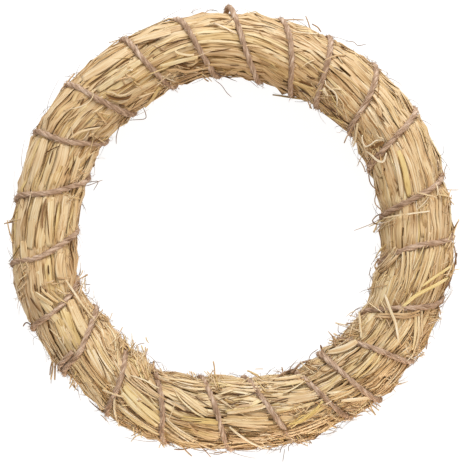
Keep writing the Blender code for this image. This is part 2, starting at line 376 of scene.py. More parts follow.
def straw_material():
    """Dried straw: streaks and blotches stretched along the grain choose the colour, and the streaks also
    bump."""
    look, tree, shader = new_look("dried_barley_straw")
    grain = add_node(tree, "ShaderNodeAttribute", {"attribute_name": "grain"}).outputs["Vector"]
    tone = add_node(tree, "ShaderNodeAttribute", {"attribute_name": "tone"}).outputs["Fac"]
    tint = add_node(tree, "ShaderNodeAttribute", {"attribute_name": "tint"}).outputs["Fac"]
    edge = add_node(tree, "ShaderNodeAttribute", {"attribute_name": "edge"}).outputs["Fac"]
    fine_place = add_node(tree, "ShaderNodeVectorMath", {"operation": "MULTIPLY"}, n0=grain,
                          n1=(1 / FIBRE_SPACING, 1 / FIBRE_LENGTH, 1.0)).outputs[0]
    fine = add_node(tree, "ShaderNodeTexNoise", Vector=fine_place, Scale=1.0, Detail=2.5,
                    Roughness=0.6).outputs["Fac"]
    broad_place = add_node(tree, "ShaderNodeVectorMath", {"operation": "MULTIPLY"}, n0=grain,
                           n1=(1 / BLOTCH_WIDTH, 1 / BLOTCH_LENGTH, 1.0)).outputs[0]
    broad = add_node(tree, "ShaderNodeTexNoise", Vector=broad_place, Scale=1.0, Detail=2.0).outputs["Fac"]
    streak = add_node(tree, "ShaderNodeMapRange", Value=fine, From_Min=0.3, From_Max=0.7, To_Min=-STREAKS,
                      To_Max=STREAKS).outputs[0]
    blotch = add_node(tree, "ShaderNodeMapRange", Value=broad, From_Min=0.3, From_Max=0.7, To_Min=-BLOTCHES,
                      To_Max=BLOTCHES).outputs[0]
    with_streak = add_node(tree, "ShaderNodeMath", {"operation": "ADD"}, n0=tone, n1=streak).outputs[0]
    with_blotch = add_node(tree, "ShaderNodeMath", {"operation": "ADD"}, n0=with_streak,
                           n1=blotch).outputs[0]
    split_place = add_node(tree, "ShaderNodeVectorMath", {"operation": "MULTIPLY"}, n0=grain,
                           n1=(1 / SPLIT_SPACING, 1 / SPLIT_LENGTH, 1.7)).outputs[0]
    split_wave = add_node(tree, "ShaderNodeTexNoise", Vector=split_place, Scale=1.0,
                          Detail=1.0).outputs["Fac"]
    from_split = add_node(tree, "ShaderNodeMath", {"operation": "SUBTRACT"}, n0=split_wave,
                          n1=0.5).outputs[0]
    beside_split = add_node(tree, "ShaderNodeMath", {"operation": "ABSOLUTE"}, n0=from_split).outputs[0]
    split = add_node(tree, "ShaderNodeMapRange", Value=beside_split, From_Min=0.0, From_Max=0.035,
                     To_Min=-SPLITS, To_Max=0.0).outputs[0]
    with_split = add_node(tree, "ShaderNodeMath", {"operation": "ADD"}, n0=with_blotch, n1=split).outputs[0]
    # Painted shade along the stalk's edges
    painted_edge_shade = add_node(tree, "ShaderNodeMath", {"operation": "MULTIPLY"}, n0=edge, n1=-EDGE_SHADE).outputs[0]
    lightness = add_node(tree, "ShaderNodeMath", {"operation": "ADD"}, n0=with_split,
                         n1=painted_edge_shade).outputs[0]
    gold = add_node(tree, "ShaderNodeValToRGB", Fac=lightness)
    set_stops(gold, [(0.0, "#50300a"), (0.25, "#8f6535"), (0.5, "#c8a475"), (0.75, "#d7c099"),
                     (1.0, "#ebe1cf")])
    green = add_node(tree, "ShaderNodeValToRGB", Fac=lightness)
    set_stops(green, [(0.0, "#57431b"), (0.3, "#a08040"), (0.6, "#d2b670"), (1.0, "#eedfae")])
    brown = add_node(tree, "ShaderNodeValToRGB", Fac=lightness)
    set_stops(brown, [(0.0, "#4d321e"), (0.3, "#8e6946"), (0.6, "#c3a27d"), (1.0, "#dccbb0")])
    to_green = add_node(tree, "ShaderNodeMath", {"operation": "MULTIPLY", "use_clamp": True}, n0=tint,
                        n1=1.0).outputs[0]
    to_brown = add_node(tree, "ShaderNodeMath", {"operation": "MULTIPLY", "use_clamp": True}, n0=tint,
                        n1=-1.0).outputs[0]
    greener = add_node(tree, "ShaderNodeMix", {"data_type": "RGBA"}, n0=to_green, n6=gold.outputs["Color"],
                       n7=green.outputs["Color"]).outputs[2]
    colour = add_node(tree, "ShaderNodeMix", {"data_type": "RGBA"}, n0=to_brown, n6=greener,
                      n7=brown.outputs["Color"]).outputs[2]
    bump = add_node(tree, "ShaderNodeBump", Strength=0.55, Distance=0.00035, Height=fine).outputs["Normal"]
    tree.links.new(colour, shader.inputs["Base Color"])
    tree.links.new(bump, shader.inputs["Normal"])
    shader.inputs["Roughness"].default_value = 0.5
    shader.inputs["IOR"].default_value = 1.45
    shader.inputs["Specular IOR Level"].default_value = 0.4
    return look


straw = straw_material()
print("made", straw.name)

# %% [markdown]
# ## A stalk as a surface
# A stalk of straw is a hollow tube that the binding has squashed flat, and a leaf sheath is a thin strip.
# Both are a small closed outline carried along a path. The outline has six corners: two edges and a flat or
# slightly arched face on each side. The path gives the direction, the way out of the bundle gives which
# side is the face, and a roll turns the stalk about itself. All stalks of a group are worked out at once as
# one array of stalks x stations x corners.
#
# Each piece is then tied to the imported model: it rides on the one body, has the slot of its material, and
# stands in for the bundle or for the twine.

# %% Carry a flat outline along many paths
# The six corners: how far across, as shares of half the width, and up, as shares of half the thickness
CORNER_ACROSS = np.array([1.0, 0.72, -0.72, -1.0, -0.72, 0.72])
CORNER_RISE = np.array([0.0, 1.0, 1.0, 0.0, -1.0, -1.0])
CREASED = (1, 2, 4, 5)  # the corners where a flattened stalk's face turns into its edge
FLOOR_GAP = 0.0002  # straw stays this far above the table
OWN_NUMBERS = 60
OWN_ACROSS = 0.001  # how far a stalk's own number moves its grain across
OWN_ALONG = 0.01  # and along, so that no two stalks look the same


def unit(vectors):
    """Vectors divided by their own length."""
    return vectors / np.maximum(np.linalg.norm(vectors, axis=-1, keepdims=True), 1e-12)


def carry_outline(paths, outwards, half_width, half_thick, roll, arch, across, rise):
    """Corner points of every stalk: path + side * across * half width + face * (rise * half thickness -
    arch * half width * across^2). Side is along x outwards, face is side x along, and both are turned by
    the roll."""
    along = unit(np.gradient(paths, axis=1))
    side = unit(np.cross(along, outwards))
    face = np.cross(side, along)
    cos_roll, sin_roll = np.cos(roll)[..., None], np.sin(roll)[..., None]
    turned_side = side * cos_roll + face * sin_roll
    turned_face = face * cos_roll - side * sin_roll
    sideways = half_width[..., None] * across
    upwards = half_thick[..., None] * rise - (arch[..., None] * half_width[..., None]) * across ** 2
    return (paths[:, :, None] + turned_side[:, :, None] * sideways[..., None]
            + turned_face[:, :, None] * upwards[..., None])


def tube_faces(stalks, stations, corners):
    """Faces of closed tubes: one four-sided face between neighbouring corners of neighbouring stations, and
    end caps fanned from the first corner in pairs of triangles."""
    stalk = np.arange(stalks)[:, None, None] * stations * corners
    station = np.arange(stations - 1)[None, :, None] * corners
    corner = np.arange(corners)[None, None]
    after = (corner + 1) % corners
    wall = np.stack([stalk + station + corner, stalk + station + corners + corner,
                     stalk + station + corners + after, stalk + station + after], axis=-1).reshape(-1, 4)
    first = np.arange(stalks)[:, None] * stations * corners
    last = first + (stations - 1) * corners
    fans = [(0, i, i + 1) for i in range(1, corners - 1)]
    start_caps = np.concatenate([first + np.array([fan]) for fan in fans])
    end_caps = np.concatenate([last + np.array([fan[::-1]]) for fan in fans])
    return wall.tolist() + start_caps.tolist() + end_caps.tolist()


def crease(mesh, corners, creased):
    """Marks the lengthwise edges of tubes sharp at some corners: both ends of such an edge have the same
    corner."""
    ends = np.empty(len(mesh.edges) * 2, dtype=np.int64)
    mesh.edges.foreach_get("vertices", ends)
    corner = ends.reshape(-1, 2) % corners
    sharp = (corner[:, 0] == corner[:, 1]) & np.isin(corner[:, 0], creased)
    mesh.attributes.new("sharp_edge", "BOOLEAN", "EDGE").data.foreach_set("value", sharp)


def add_piece(name, points, faces, look, node, values=None, creased=()):
    """Makes the mesh, writes its point attributes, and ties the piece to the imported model."""
    mesh = bpy.data.meshes.new(name)
    mesh.from_pydata(points.reshape(-1, 3).tolist(), [], faces)
    for key, array in (values or {}).items():
        kind = "FLOAT_VECTOR" if array.shape[-1] == 3 and array.ndim > 1 else "FLOAT"
        field = mesh.attributes.new(key, kind, "POINT")
        field.data.foreach_set("vector" if kind == "FLOAT_VECTOR" else "value",
                               np.ascontiguousarray(array, dtype=np.float32).ravel())
    mesh.shade_smooth()
    if creased:
        crease(mesh, points.shape[-2], creased)
    mesh.materials.append(look)
    piece = into_scene(name, mesh)
    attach(piece, "root")
    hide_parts(node)
    triangles = sum(len(f) - 2 for f in faces)
    print(name, "triangles:", triangles, "lowest, mm:", round(float(points[..., 2].min()) / MM, 2))
    return piece


def add_stalks(name, paths, outwards, half_width, half_thick, roll, arch, tone, tint, seed,
               across=CORNER_ACROSS, rise=CORNER_RISE, creased=CREASED):
    """One piece of many stalks, with the grain, tone, tint and edge that the straw material reads."""
    stalks, stations = paths.shape[:2]
    shape = (stalks, stations)
    half_width, half_thick, roll, arch, tone, tint = (
        np.broadcast_to(value, shape) for value in (half_width, half_thick, roll, arch, tone, tint))
    points = carry_outline(paths, outwards, half_width, half_thick, roll, arch, across, rise)
    points[..., 2] = np.maximum(points[..., 2], FLOOR_GAP)
    dice = np.random.default_rng(seed)
    own = dice.uniform(0, OWN_NUMBERS, (stalks, 1, 1))
    steps = np.linalg.norm(np.diff(paths, axis=1), axis=-1)
    length = np.concatenate([np.zeros((stalks, 1)), np.cumsum(steps, axis=1)], axis=1)
    corners = len(across)
    grain_across = half_width[..., None] * across + own * OWN_ACROSS
    grain = np.stack(np.broadcast_arrays(grain_across, length[..., None] + own * OWN_ALONG, own), axis=-1)
    # How near each corner is to the stalk's edge, where the straw material paints shade
    edge = np.broadcast_to(np.abs(across) ** 3, shape + (corners,))
    values = {
        "grain": grain.reshape(-1, 3),
        "tone": np.repeat(tone.ravel(), corners),
        "tint": np.repeat(tint.ravel(), corners),
        "edge": edge.ravel(),
    }
    faces = tube_faces(stalks, stations, corners)
    return add_piece(name, points, faces, straw, "straw_bundle", values, creased)


# %% [markdown]
# ## The imported straw inside
# Between the stalks of the outer layers one looks down on more straw, in deep shade. A single closed ring a
# few millimetres below the surface stands for it and stops the light, and its dark brown colour is painted
# shade. Its rows follow the twine, so it is pinched where the outer straw is pinched.

# %% The shaded ring inside
INSIDE_BELOW = 0.0046
INSIDE_ROWS = (0.0, 0.12, 0.3, 0.5, 0.7, 0.88)  # places between one turn of twine and the next
INSIDE_COLUMNS = 48
# Painted shade: the inside ring's tone is dark and leans to brown
INSIDE_SHADE_TONE = 0.1
INSIDE_SHADE_TINT = -0.3
TURN_LENGTH = 0.03  # about how far it is from one turn to the next, for the grain


def shaded_ring():
    """A grid of places along the ring and angles round the section, at a constant depth below the
    surface."""
    place = (np.arange(TURNS)[:, None] + np.array(INSIDE_ROWS)).reshape(-1, 1)
    around = np.linspace(0, 2 * math.pi, INSIDE_COLUMNS, endpoint=False)[None]
    turned = place + 0 * around
    ring_angle, reach = straw_point(turned, around + 0 * place, INSIDE_BELOW)
    points = in_space(ring_angle, around, reach)
    rows, columns = points.shape[:2]
    row, column = np.meshgrid(np.arange(rows), np.arange(columns), indexing="ij")
    per_turn = len(INSIDE_ROWS)

    def corner(down, right):
        past = column + right == columns
        moved = (row + down - per_turn * past) % rows
        return moved * columns + (column + right) % columns

    faces = np.stack([corner(0, 0), corner(1, 0), corner(1, 1), corner(0, 1)], axis=-1).reshape(-1, 4)
    grain = np.stack(np.broadcast_arrays(around * BUNDLE_RADIUS, place * TURN_LENGTH, 0 * around), axis=-1)
    flat = np.zeros(rows * columns)
    values = {
        "grain": grain.reshape(-1, 3),
        "tone": flat + INSIDE_SHADE_TONE,
        "tint": flat + INSIDE_SHADE_TINT,
        "edge": flat,
    }
    return add_piece("straw_shaded_inside", points, faces.tolist(), straw, "straw_bundle", values)


shaded_ring()

# %% [markdown]
# ## How stalks lie
# Straw is laid on in handfuls, so its stalks run nearly along the ring, a little askew, and the askewness
# changes from one part of the wreath to the next. Adding it up along the ring gives the lines that
# neighbouring stalks follow side by side: section angle = start - sum of tan(lay) * length / bundle radius.
#
# Stations along a stalk stand close together near the twine, where it is pinched, and further apart between
# turns.
#
# Four lists say how the straw differs round the ring, as pairs of a ring angle in degrees and a value: the
# lay in degrees, how untidily stalks cross, how broad they are, and how even the straw is. Between two
# angles the value goes evenly from one to the other.

# %% Lines that the stalks follow
STATIONS_PER_TURN = (0.0, 0.1, 0.26, 0.5, 0.74, 0.9)
LAY = [
    (0, 4), (20, 3), (40, 6), (60, 12), (75, 12), (88, 4), (103, -4), (116, -5), (125, 5), (160, 5),
    (185, 3), (205, 10), (216, 20), (236, 20), (248, 10), (270, 4), (300, 6), (326, 2), (334, -10),
    (342, 12), (352, 5),
]
UNTIDY = [(10, 1), (90, 0.7), (130, 0.9), (180, 0.7), (215, 1.5), (240, 2.3), (300, 2.3), (330, 1.5)]
WIDTHS = [
    (0, 1), (45, 0.95), (90, 1.1), (120, 1.4), (185, 1.5), (205, 1.15), (230, 0.85), (300, 0.8),
    (335, 0.95),
]
CALM = [
    (0, 0.4), (45, 0.5), (100, 0), (140, 0.8), (195, 0.8), (212, 0), (260, 0), (290, 0.5), (320, 0.5),
    (360, 0.4),
]
lay_degrees = np.arange(361)
lay_slope = np.tan(np.radians(np.interp(lay_degrees, *zip(*LAY), period=360)))
lay_sum = np.concatenate([[0.0], np.cumsum((lay_slope[1:] + lay_slope[:-1]) / 2)])
lay_drift = -lay_sum * math.radians(1) * RING_RADIUS / BUNDLE_RADIUS
once_round = round(math.degrees(lay_drift[-1]))
print("once round the ring, the lines turn round the section by, degrees:", once_round)


def drifted(ring_angle):
    """How far the lines have turned round the section at a ring angle, counted on past a full round."""
    rounds, rest = np.divmod(ring_angle, 2 * math.pi)
    return rounds * lay_drift[-1] + np.interp(np.degrees(rest), lay_degrees, lay_drift)


def untidiness(ring_angle):
    """How much more than elsewhere the stalks cross here."""
    return np.interp(np.degrees(ring_angle) % 360, *zip(*UNTIDY), period=360)


def calmness(ring_angle):
    """How even the straw is here, from 0 to 1."""
    return np.interp(np.degrees(ring_angle) % 360, *zip(*CALM))


def stations_from(first, stations):
    """Places along the ring, in turns, of the stations that follow a first one."""
    grid = len(STATIONS_PER_TURN)
    index = np.asarray(first)[:, None] + np.arange(stations)
    return index // grid + np.array(STATIONS_PER_TURN)[index % grid]


# %% [markdown]
# ## Two ways to lay them
# The deep straw is scattered: a low-discrepancy sequence spreads the starts evenly without putting them in
# rows, and handfuls overlap. The outer straw lies in lanes, side by side and end to end, because the hand
# that bound the wreath stroked it flat. That keeps each stalk in sight from one end to the other, with thin
# dark slits between neighbours.

# %% Scattered stalks and stalks in lanes
# Powers of 1 / 1.3247, the plastic number: steps by them never bunch up, in two directions at once
EVEN_STEP_ALONG = 0.7548776662
EVEN_STEP_AROUND = 0.5698402910
LANE_SPREAD = 0.16  # how far stalks lie beside their lane's middle, in lanes
WAVER_HEIGHT = 0.00018
WAVER_LENGTHS = (0.025, 0.06)


def scattered(dice, count, stations, stray_lay):
    """Places and section angles of stalks that start anywhere."""
    order = np.arange(count)
    share_along = (order * EVEN_STEP_ALONG + dice.uniform()) % 1
    share_around = (order * EVEN_STEP_AROUND + dice.uniform()) % 1
    first = np.floor(share_along * TURNS * len(STATIONS_PER_TURN)).astype(int)
    around = (share_around * 2 * math.pi - math.pi / 2)[:, None]
    return follow_lines(dice, stations_from(first, stations), around, stray_lay)


def in_lanes(dice, lanes, lane_stations, stray_lay):
    """Places and section angles of stalks laid end to end in lanes round the section. One array for each
    length of stalk; a lane picks its lengths by chance and each stalk starts up to two stations before the
    last one ends."""
    starts = {stations: [] for stations in lane_stations}
    for lane in range(lanes):
        at = -dice.integers(0, max(lane_stations))
        while at < TURNS * len(STATIONS_PER_TURN):
            stations = int(dice.choice(lane_stations))
            around = (lane + dice.normal(0, LANE_SPREAD)) / lanes * 2 * math.pi - math.pi / 2
            starts[stations].append((at, around))
            at += stations - 1 - dice.integers(0, 3)
    laid = []
    for stations, stalks in starts.items():
        first, around = np.array(stalks).T
        place = stations_from(first.astype(int), stations)
        laid.append(follow_lines(dice, place, around[:, None], stray_lay))
    return laid


def follow_lines(dice, place, around, stray_lay):
    """Lets stalks drift with the lines, each turned from them by an angle of its own and wavering by a
    sine."""
    count, stations = place.shape
    place = place.astype(float)
    place[:, 0] += dice.uniform(-0.09, 0.06, count)
    place[:, -1] += dice.uniform(-0.06, 0.09, count)
    ring_angle = ring_angle_at(place, around + drifted(ring_angle_at(place, around)))
    middle = ring_angle[:, stations // 2][:, None]
    distance = (ring_angle - middle) * (RING_RADIUS + BUNDLE_RADIUS * np.cos(around))
    stray = np.tan(np.radians(dice.normal(0, stray_lay, (count, 1)))) * untidiness(middle)
    waver_length = dice.uniform(*WAVER_LENGTHS, (count, 1))
    waver_height = dice.normal(0, WAVER_HEIGHT, (count, 1))
    waver_start = dice.uniform(0, 6.3, (count, 1))
    waver = waver_height * np.sin(distance / waver_length * 2 * math.pi + waver_start)
    return place, around + drifted(ring_angle) + (waver + stray * distance) / BUNDLE_RADIUS


# %% [markdown]
# ## From lines to stalks
# A stalk has a depth below the loose surface, dips at both ends where it slips under its neighbours, is
# squeezed a little narrower by the twine and narrows at its ends. It dries lighter or darker than the next
# one, and the deeper it lies, the darker its colour is made: painted shade for the straw that lies down
# between the others.

# %% Shape and colour a group of stalks
# Painted light and shade: degrees round the ring, and how much lighter stalks are painted at the inner
# edge and at the outer edge, where that side of the bundle is lit more or less
SIDE_LIGHT_AND_SHADE = [
    (0, 0.03, 0.03), (30, -0.05, 0), (50, -0.1, -0.02), (75, -0.22, -0.04), (95, -0.03, -0.03),
    (135, -0.03, -0.03), (165, -0.05, 0.03), (195, -0.01, 0.06), (225, 0.03, 0.04), (255, 0.15, -0.13),
    (285, 0.1, -0.06), (315, 0.11, -0.03), (345, 0.03, 0),
]
PALEST = 0.84  # the lightest tone that a stalk may have
SQUEEZE = 0.22  # the share of its width that a stalk loses under the twine
DIP_SHARE = 4  # an end dips over a quarter of the stalk
TAPER_SHARE = 7  # and narrows over a seventh
STATION_SPREAD = 0.0001  # how unevenly deep the stations of one stalk lie


def near_ends(ramp, share):
    """How near each end is, from 1 at the end to 0 a length / share further in: 1 - distance * share."""
    return np.clip(1 - ramp * share, 0, 1), np.clip(1 - (1 - ramp) * share, 0, 1)


def painted_side_light(ring_angle, around):
    """How much lighter stalks are painted at a place, as painted light and shade: the inner edge's share
    times how far it faces inwards, plus the outer edge's share times how far it faces outwards."""
    degrees, inner, outer = zip(*SIDE_LIGHT_AND_SHADE)
    at = np.degrees(ring_angle) % 360
    facing = np.cos(around)
    return (np.interp(at, degrees, inner, period=360) * np.clip(-facing, 0, 1)
            + np.interp(at, degrees, outer, period=360) * np.clip(facing, 0, 1))


def straw_layer(name, laid, dice, below, width, thick, end_dip, light, light_spread, arch=(-0.06, 0.12),
                depth_shade=55.0, tint_spread=0.18):
    """Makes stalks a piece. Below, width, thick and end_dip are ranges (lowest, highest) in mm, and a
    stalk's own value lies between them. Tone = light, with a spread, minus a painted shade that grows with
    the depth in metres, plus the painted light and shade of the inner and outer edges, and where the straw
    is even, tones differ less."""
    place, around = laid
    count, stations = place.shape
    below_own = dice.uniform(*below, (count, 1)) * MM
    ramp = np.linspace(0, 1, stations)[None]
    at_start, at_end = near_ends(ramp, DIP_SHARE)
    dips = dice.uniform(*end_dip, (2, count, 1)) * MM
    depth = below_own + dips[0] * at_start ** 2 + dips[1] * at_end ** 2
    depth = depth + dice.normal(0, STATION_SPREAD, (count, stations))
    ring_angle, reach = straw_point(place, around, depth)
    squeeze = 1 - SQUEEZE * press(place, around)
    near_start, near_end = near_ends(ramp, TAPER_SHARE)
    taper = 1 - 0.45 * near_start - 0.55 * near_end
    lowest, highest = width
    own_width = dice.triangular(lowest, lowest * 0.65 + highest * 0.35, highest, (count, 1)) * MM
    own_width = own_width * np.interp(np.degrees(ring_angle[:, :1]) % 360, *zip(*WIDTHS), period=360)
    half_width = own_width / 2 * squeeze * taper * (1 + dice.normal(0, 0.03, (count, stations)))
    half_thick = dice.uniform(*thick, (count, 1)) * MM / 2 * (0.75 + 0.25 * taper)
    roll = dice.normal(0, 0.09, (count, 1)) + dice.normal(0, 0.07, (count, 1)) * (ramp - 0.5) * 3
    calm = calmness(ring_angle[:, :1])
    # Painted shade: the deeper a stalk lies, the darker its tone
    tone = light + dice.normal(0, light_spread, (count, 1)) * (1 - 0.5 * calm) - depth_shade * below_own
    # Painted light and shade on the bundle's inner and outer sides
    tone = np.minimum(tone + painted_side_light(ring_angle[:, :1], around[:, :1]), PALEST)
    tint = dice.normal(0.04, tint_spread, (count, 1))
    own_arch = dice.uniform(*arch, (count, 1))
    paths = in_space(ring_angle, around, reach)
    outwards = away_from_middle(ring_angle, around)
    seed = dice.integers(1000)
    return add_stalks(name, paths, outwards, half_width, half_thick, roll, own_arch, tone, tint, seed)


# %% [markdown]
# ## Which stalks the layers hold
# Deep down lie plain round stems that only fill the gaps. Over them come flattened stalks in lanes, 1.5 to
# 4.4 mm wide, which give the wreath its face, then scattered broad leaf sheaths and thin round stems.
# Making the layers one after the other, from the inside outwards, is how the real bundle is built up.

# %% Deep, middle and outer layers
LANES = 64
LANE_STATIONS = (8, 13, 19)  # the lengths of stalks in lanes, in stations

# The deep layer's low light and the middle layer's steep darkening with depth are painted shade too
deep_dice = np.random.default_rng(11)
straw_layer("straw_deep", scattered(deep_dice, 800, 9, 6), deep_dice, below=(2.8, 4.2), width=(2.0, 4.4),
            thick=(0.7, 1.3), end_dip=(0.0, 1.0), light=0.5, light_spread=0.1)
middle_dice = np.random.default_rng(12)
straw_layer("straw_middle", scattered(middle_dice, 900, 12, 3.5), middle_dice, below=(1.5, 2.7),
            width=(2.0, 4.6), thick=(0.5, 0.9), end_dip=(0.2, 1.0), light=0.66, light_spread=0.09,
            depth_shade=110.0)
lane_dice = np.random.default_rng(13)
lane_names = ("straw_short", "straw_outer", "straw_long")
for lane_name, lane_stalks in zip(lane_names, in_lanes(lane_dice, LANES, LANE_STATIONS, 1.1)):
    straw_layer(lane_name, lane_stalks, lane_dice, below=(-0.3, 0.9), width=(1.5, 4.4), thick=(0.35, 0.65),
                end_dip=(0.2, 1.1), light=0.67, light_spread=0.075, arch=(0.0, 0.17))
sheath_dice = np.random.default_rng(15)
straw_layer("straw_sheaths", scattered(sheath_dice, 230, 11, 2.5), sheath_dice, below=(-0.5, 0.5),
            width=(3.3, 6.2), thick=(0.3, 0.5), end_dip=(0.2, 1.2), light=0.67, light_spread=0.06,
            arch=(0.0, 0.09))
stem_dice = np.random.default_rng(14)
straw_layer("straw_stems", scattered(stem_dice, 190, 11, 5.0), stem_dice, below=(-0.7, 0.5),
            width=(0.8, 2.0), thick=(0.5, 0.9), end_dip=(0.2, 1.4), light=0.62, light_spread=0.09)

# %% [markdown]
# ## Fine straws
# Where the wreath is untidy, many straws of about a millimetre lie crosswise over the others. Instead of
# placing them one by one, we scatter them all round the ring and keep only those that start in an untidy
# stretch.

# %% Fine straws where the wreath is untidy
FINE_WHERE = 1.25  # the least untidiness at which they lie


def where_untidy(laid, least):
    """Keeps the stalks whose first station lies where the straw is less tidy than a given measure."""
    place, around = laid
    kept = untidiness(ring_angle_at(place[:, 0], around[:, 0])) > least
    return place[kept], around[kept]


fine_dice = np.random.default_rng(16)
fine_straws = where_untidy(scattered(fine_dice, 1300, 8, 4.0), FINE_WHERE)
straw_layer("straw_fine", fine_straws, fine_dice, below=(-0.9, 0.3), width=(0.7, 1.9), thick=(0.35, 0.7),
            end_dip=(0.1, 1.6), light=0.63, light_spread=0.09)

# %% [markdown]
# ## Stalks with a place of their own
# The eye knows this wreath by its odd stalks: a yellow straw that cuts across the others, pale ones that
# were laid over the twine, a green one that sags into the open centre. Each is given by a few points of its
# path, as the angle round the ring, the radius from the ring's axis and how far it is lifted off the
# bundle, and a smooth curve joins them. A point whose radius lies beyond the bundle hangs beside it, at the
# height of its middle.

# %% Functions that place single stalks
PLACED_STATIONS = 15
PLACED_ARCH = 0.08
PLACED_TAPER_SHARE = 5  # an end narrows over a fifth of the stalk
LEAST_FACING = 0.35  # how far above level a placed stalk's face looks at least, in radians


def through_points(points, stations):
    """A Catmull-Rom curve: between two points it is a cubic whose slope at each is half the way between
    that point's neighbours. Before the first point and after the last one it would go straight on."""
    points = np.array(points, float)
    padded = np.concatenate([2 * points[:1] - points[1:2], points, 2 * points[-1:] - points[-2:-1]])
    t = np.linspace(0, len(points) - 1, stations)
    left = np.minimum(t.astype(int), len(points) - 2)
    t = (t - left)[:, None]
    a, b, c, d = (padded[left + k] for k in range(4))
    squared, cubed = 2 * a - 5 * b + 4 * c - d, 3 * b - a - 3 * c + d
    return 0.5 * (2 * b + (c - a) * t + squared * t ** 2 + cubed * t ** 3)


def over_bundle(degrees, radius, lift):
    """Where a radius meets the bundle's upper side, lifted: height = middle + reach * sin(acos(out /
    reach)). Beyond the bundle the point stays level with its middle."""
    ring_angle = np.radians(degrees)
    out = radius - ring_centre_radius(ring_angle)
    reach = girth(ring_angle) + lift
    around = np.arccos(np.clip(out / reach, -1, 1))
    height = middle_height(ring_angle) + reach * np.sin(around)
    x = radius * np.cos(ring_angle) + RING_SHIFT[0]
    y = radius * np.sin(ring_angle) + RING_SHIFT[1]
    faced = np.clip(around, LEAST_FACING, math.pi - LEAST_FACING)
    return np.stack([x, y, height], axis=-1), away_from_middle(ring_angle, faced)


def place_stalks(name, stalks, thick, seed, sharp_end=0.4):
    """One piece of stalks given as (width mm, tone, tint, [(degrees, radius mm, lift mm), ...])."""
    curves = np.stack([through_points(points, PLACED_STATIONS) for *_, points in stalks])
    paths, outwards = over_bundle(curves[..., 0], curves[..., 1] * MM, curves[..., 2] * MM)
    ramp = np.linspace(0, 1, PLACED_STATIONS)[None]
    near_start, near_end = near_ends(ramp, PLACED_TAPER_SHARE)
    taper = 1 - (1 - sharp_end) * (near_start + near_end)
    width, tone, tint = (np.array([stalk[i] for stalk in stalks], float)[:, None] for i in range(3))
    dice = np.random.default_rng(seed)
    roll = dice.normal(0, 0.15, width.shape)
    thickness = np.minimum(thick, width * MM * 0.8) / 2
    half_width = width * MM / 2 * taper
    half_thick = thickness * (0.7 + 0.3 * taper)
    return add_stalks(name, paths, outwards, half_width, half_thick, roll, PLACED_ARCH, tone, tint, seed)


print("a placed stalk has stations:", PLACED_STATIONS)

# %% [markdown]
# ## Stalks laid over the others
# These are the ones that show from end to end. Each row is (width in mm, tone, tint, points), and each
# point is (degrees, radius in mm, lift in mm). A lift below 0 lets an end dive under its neighbours.

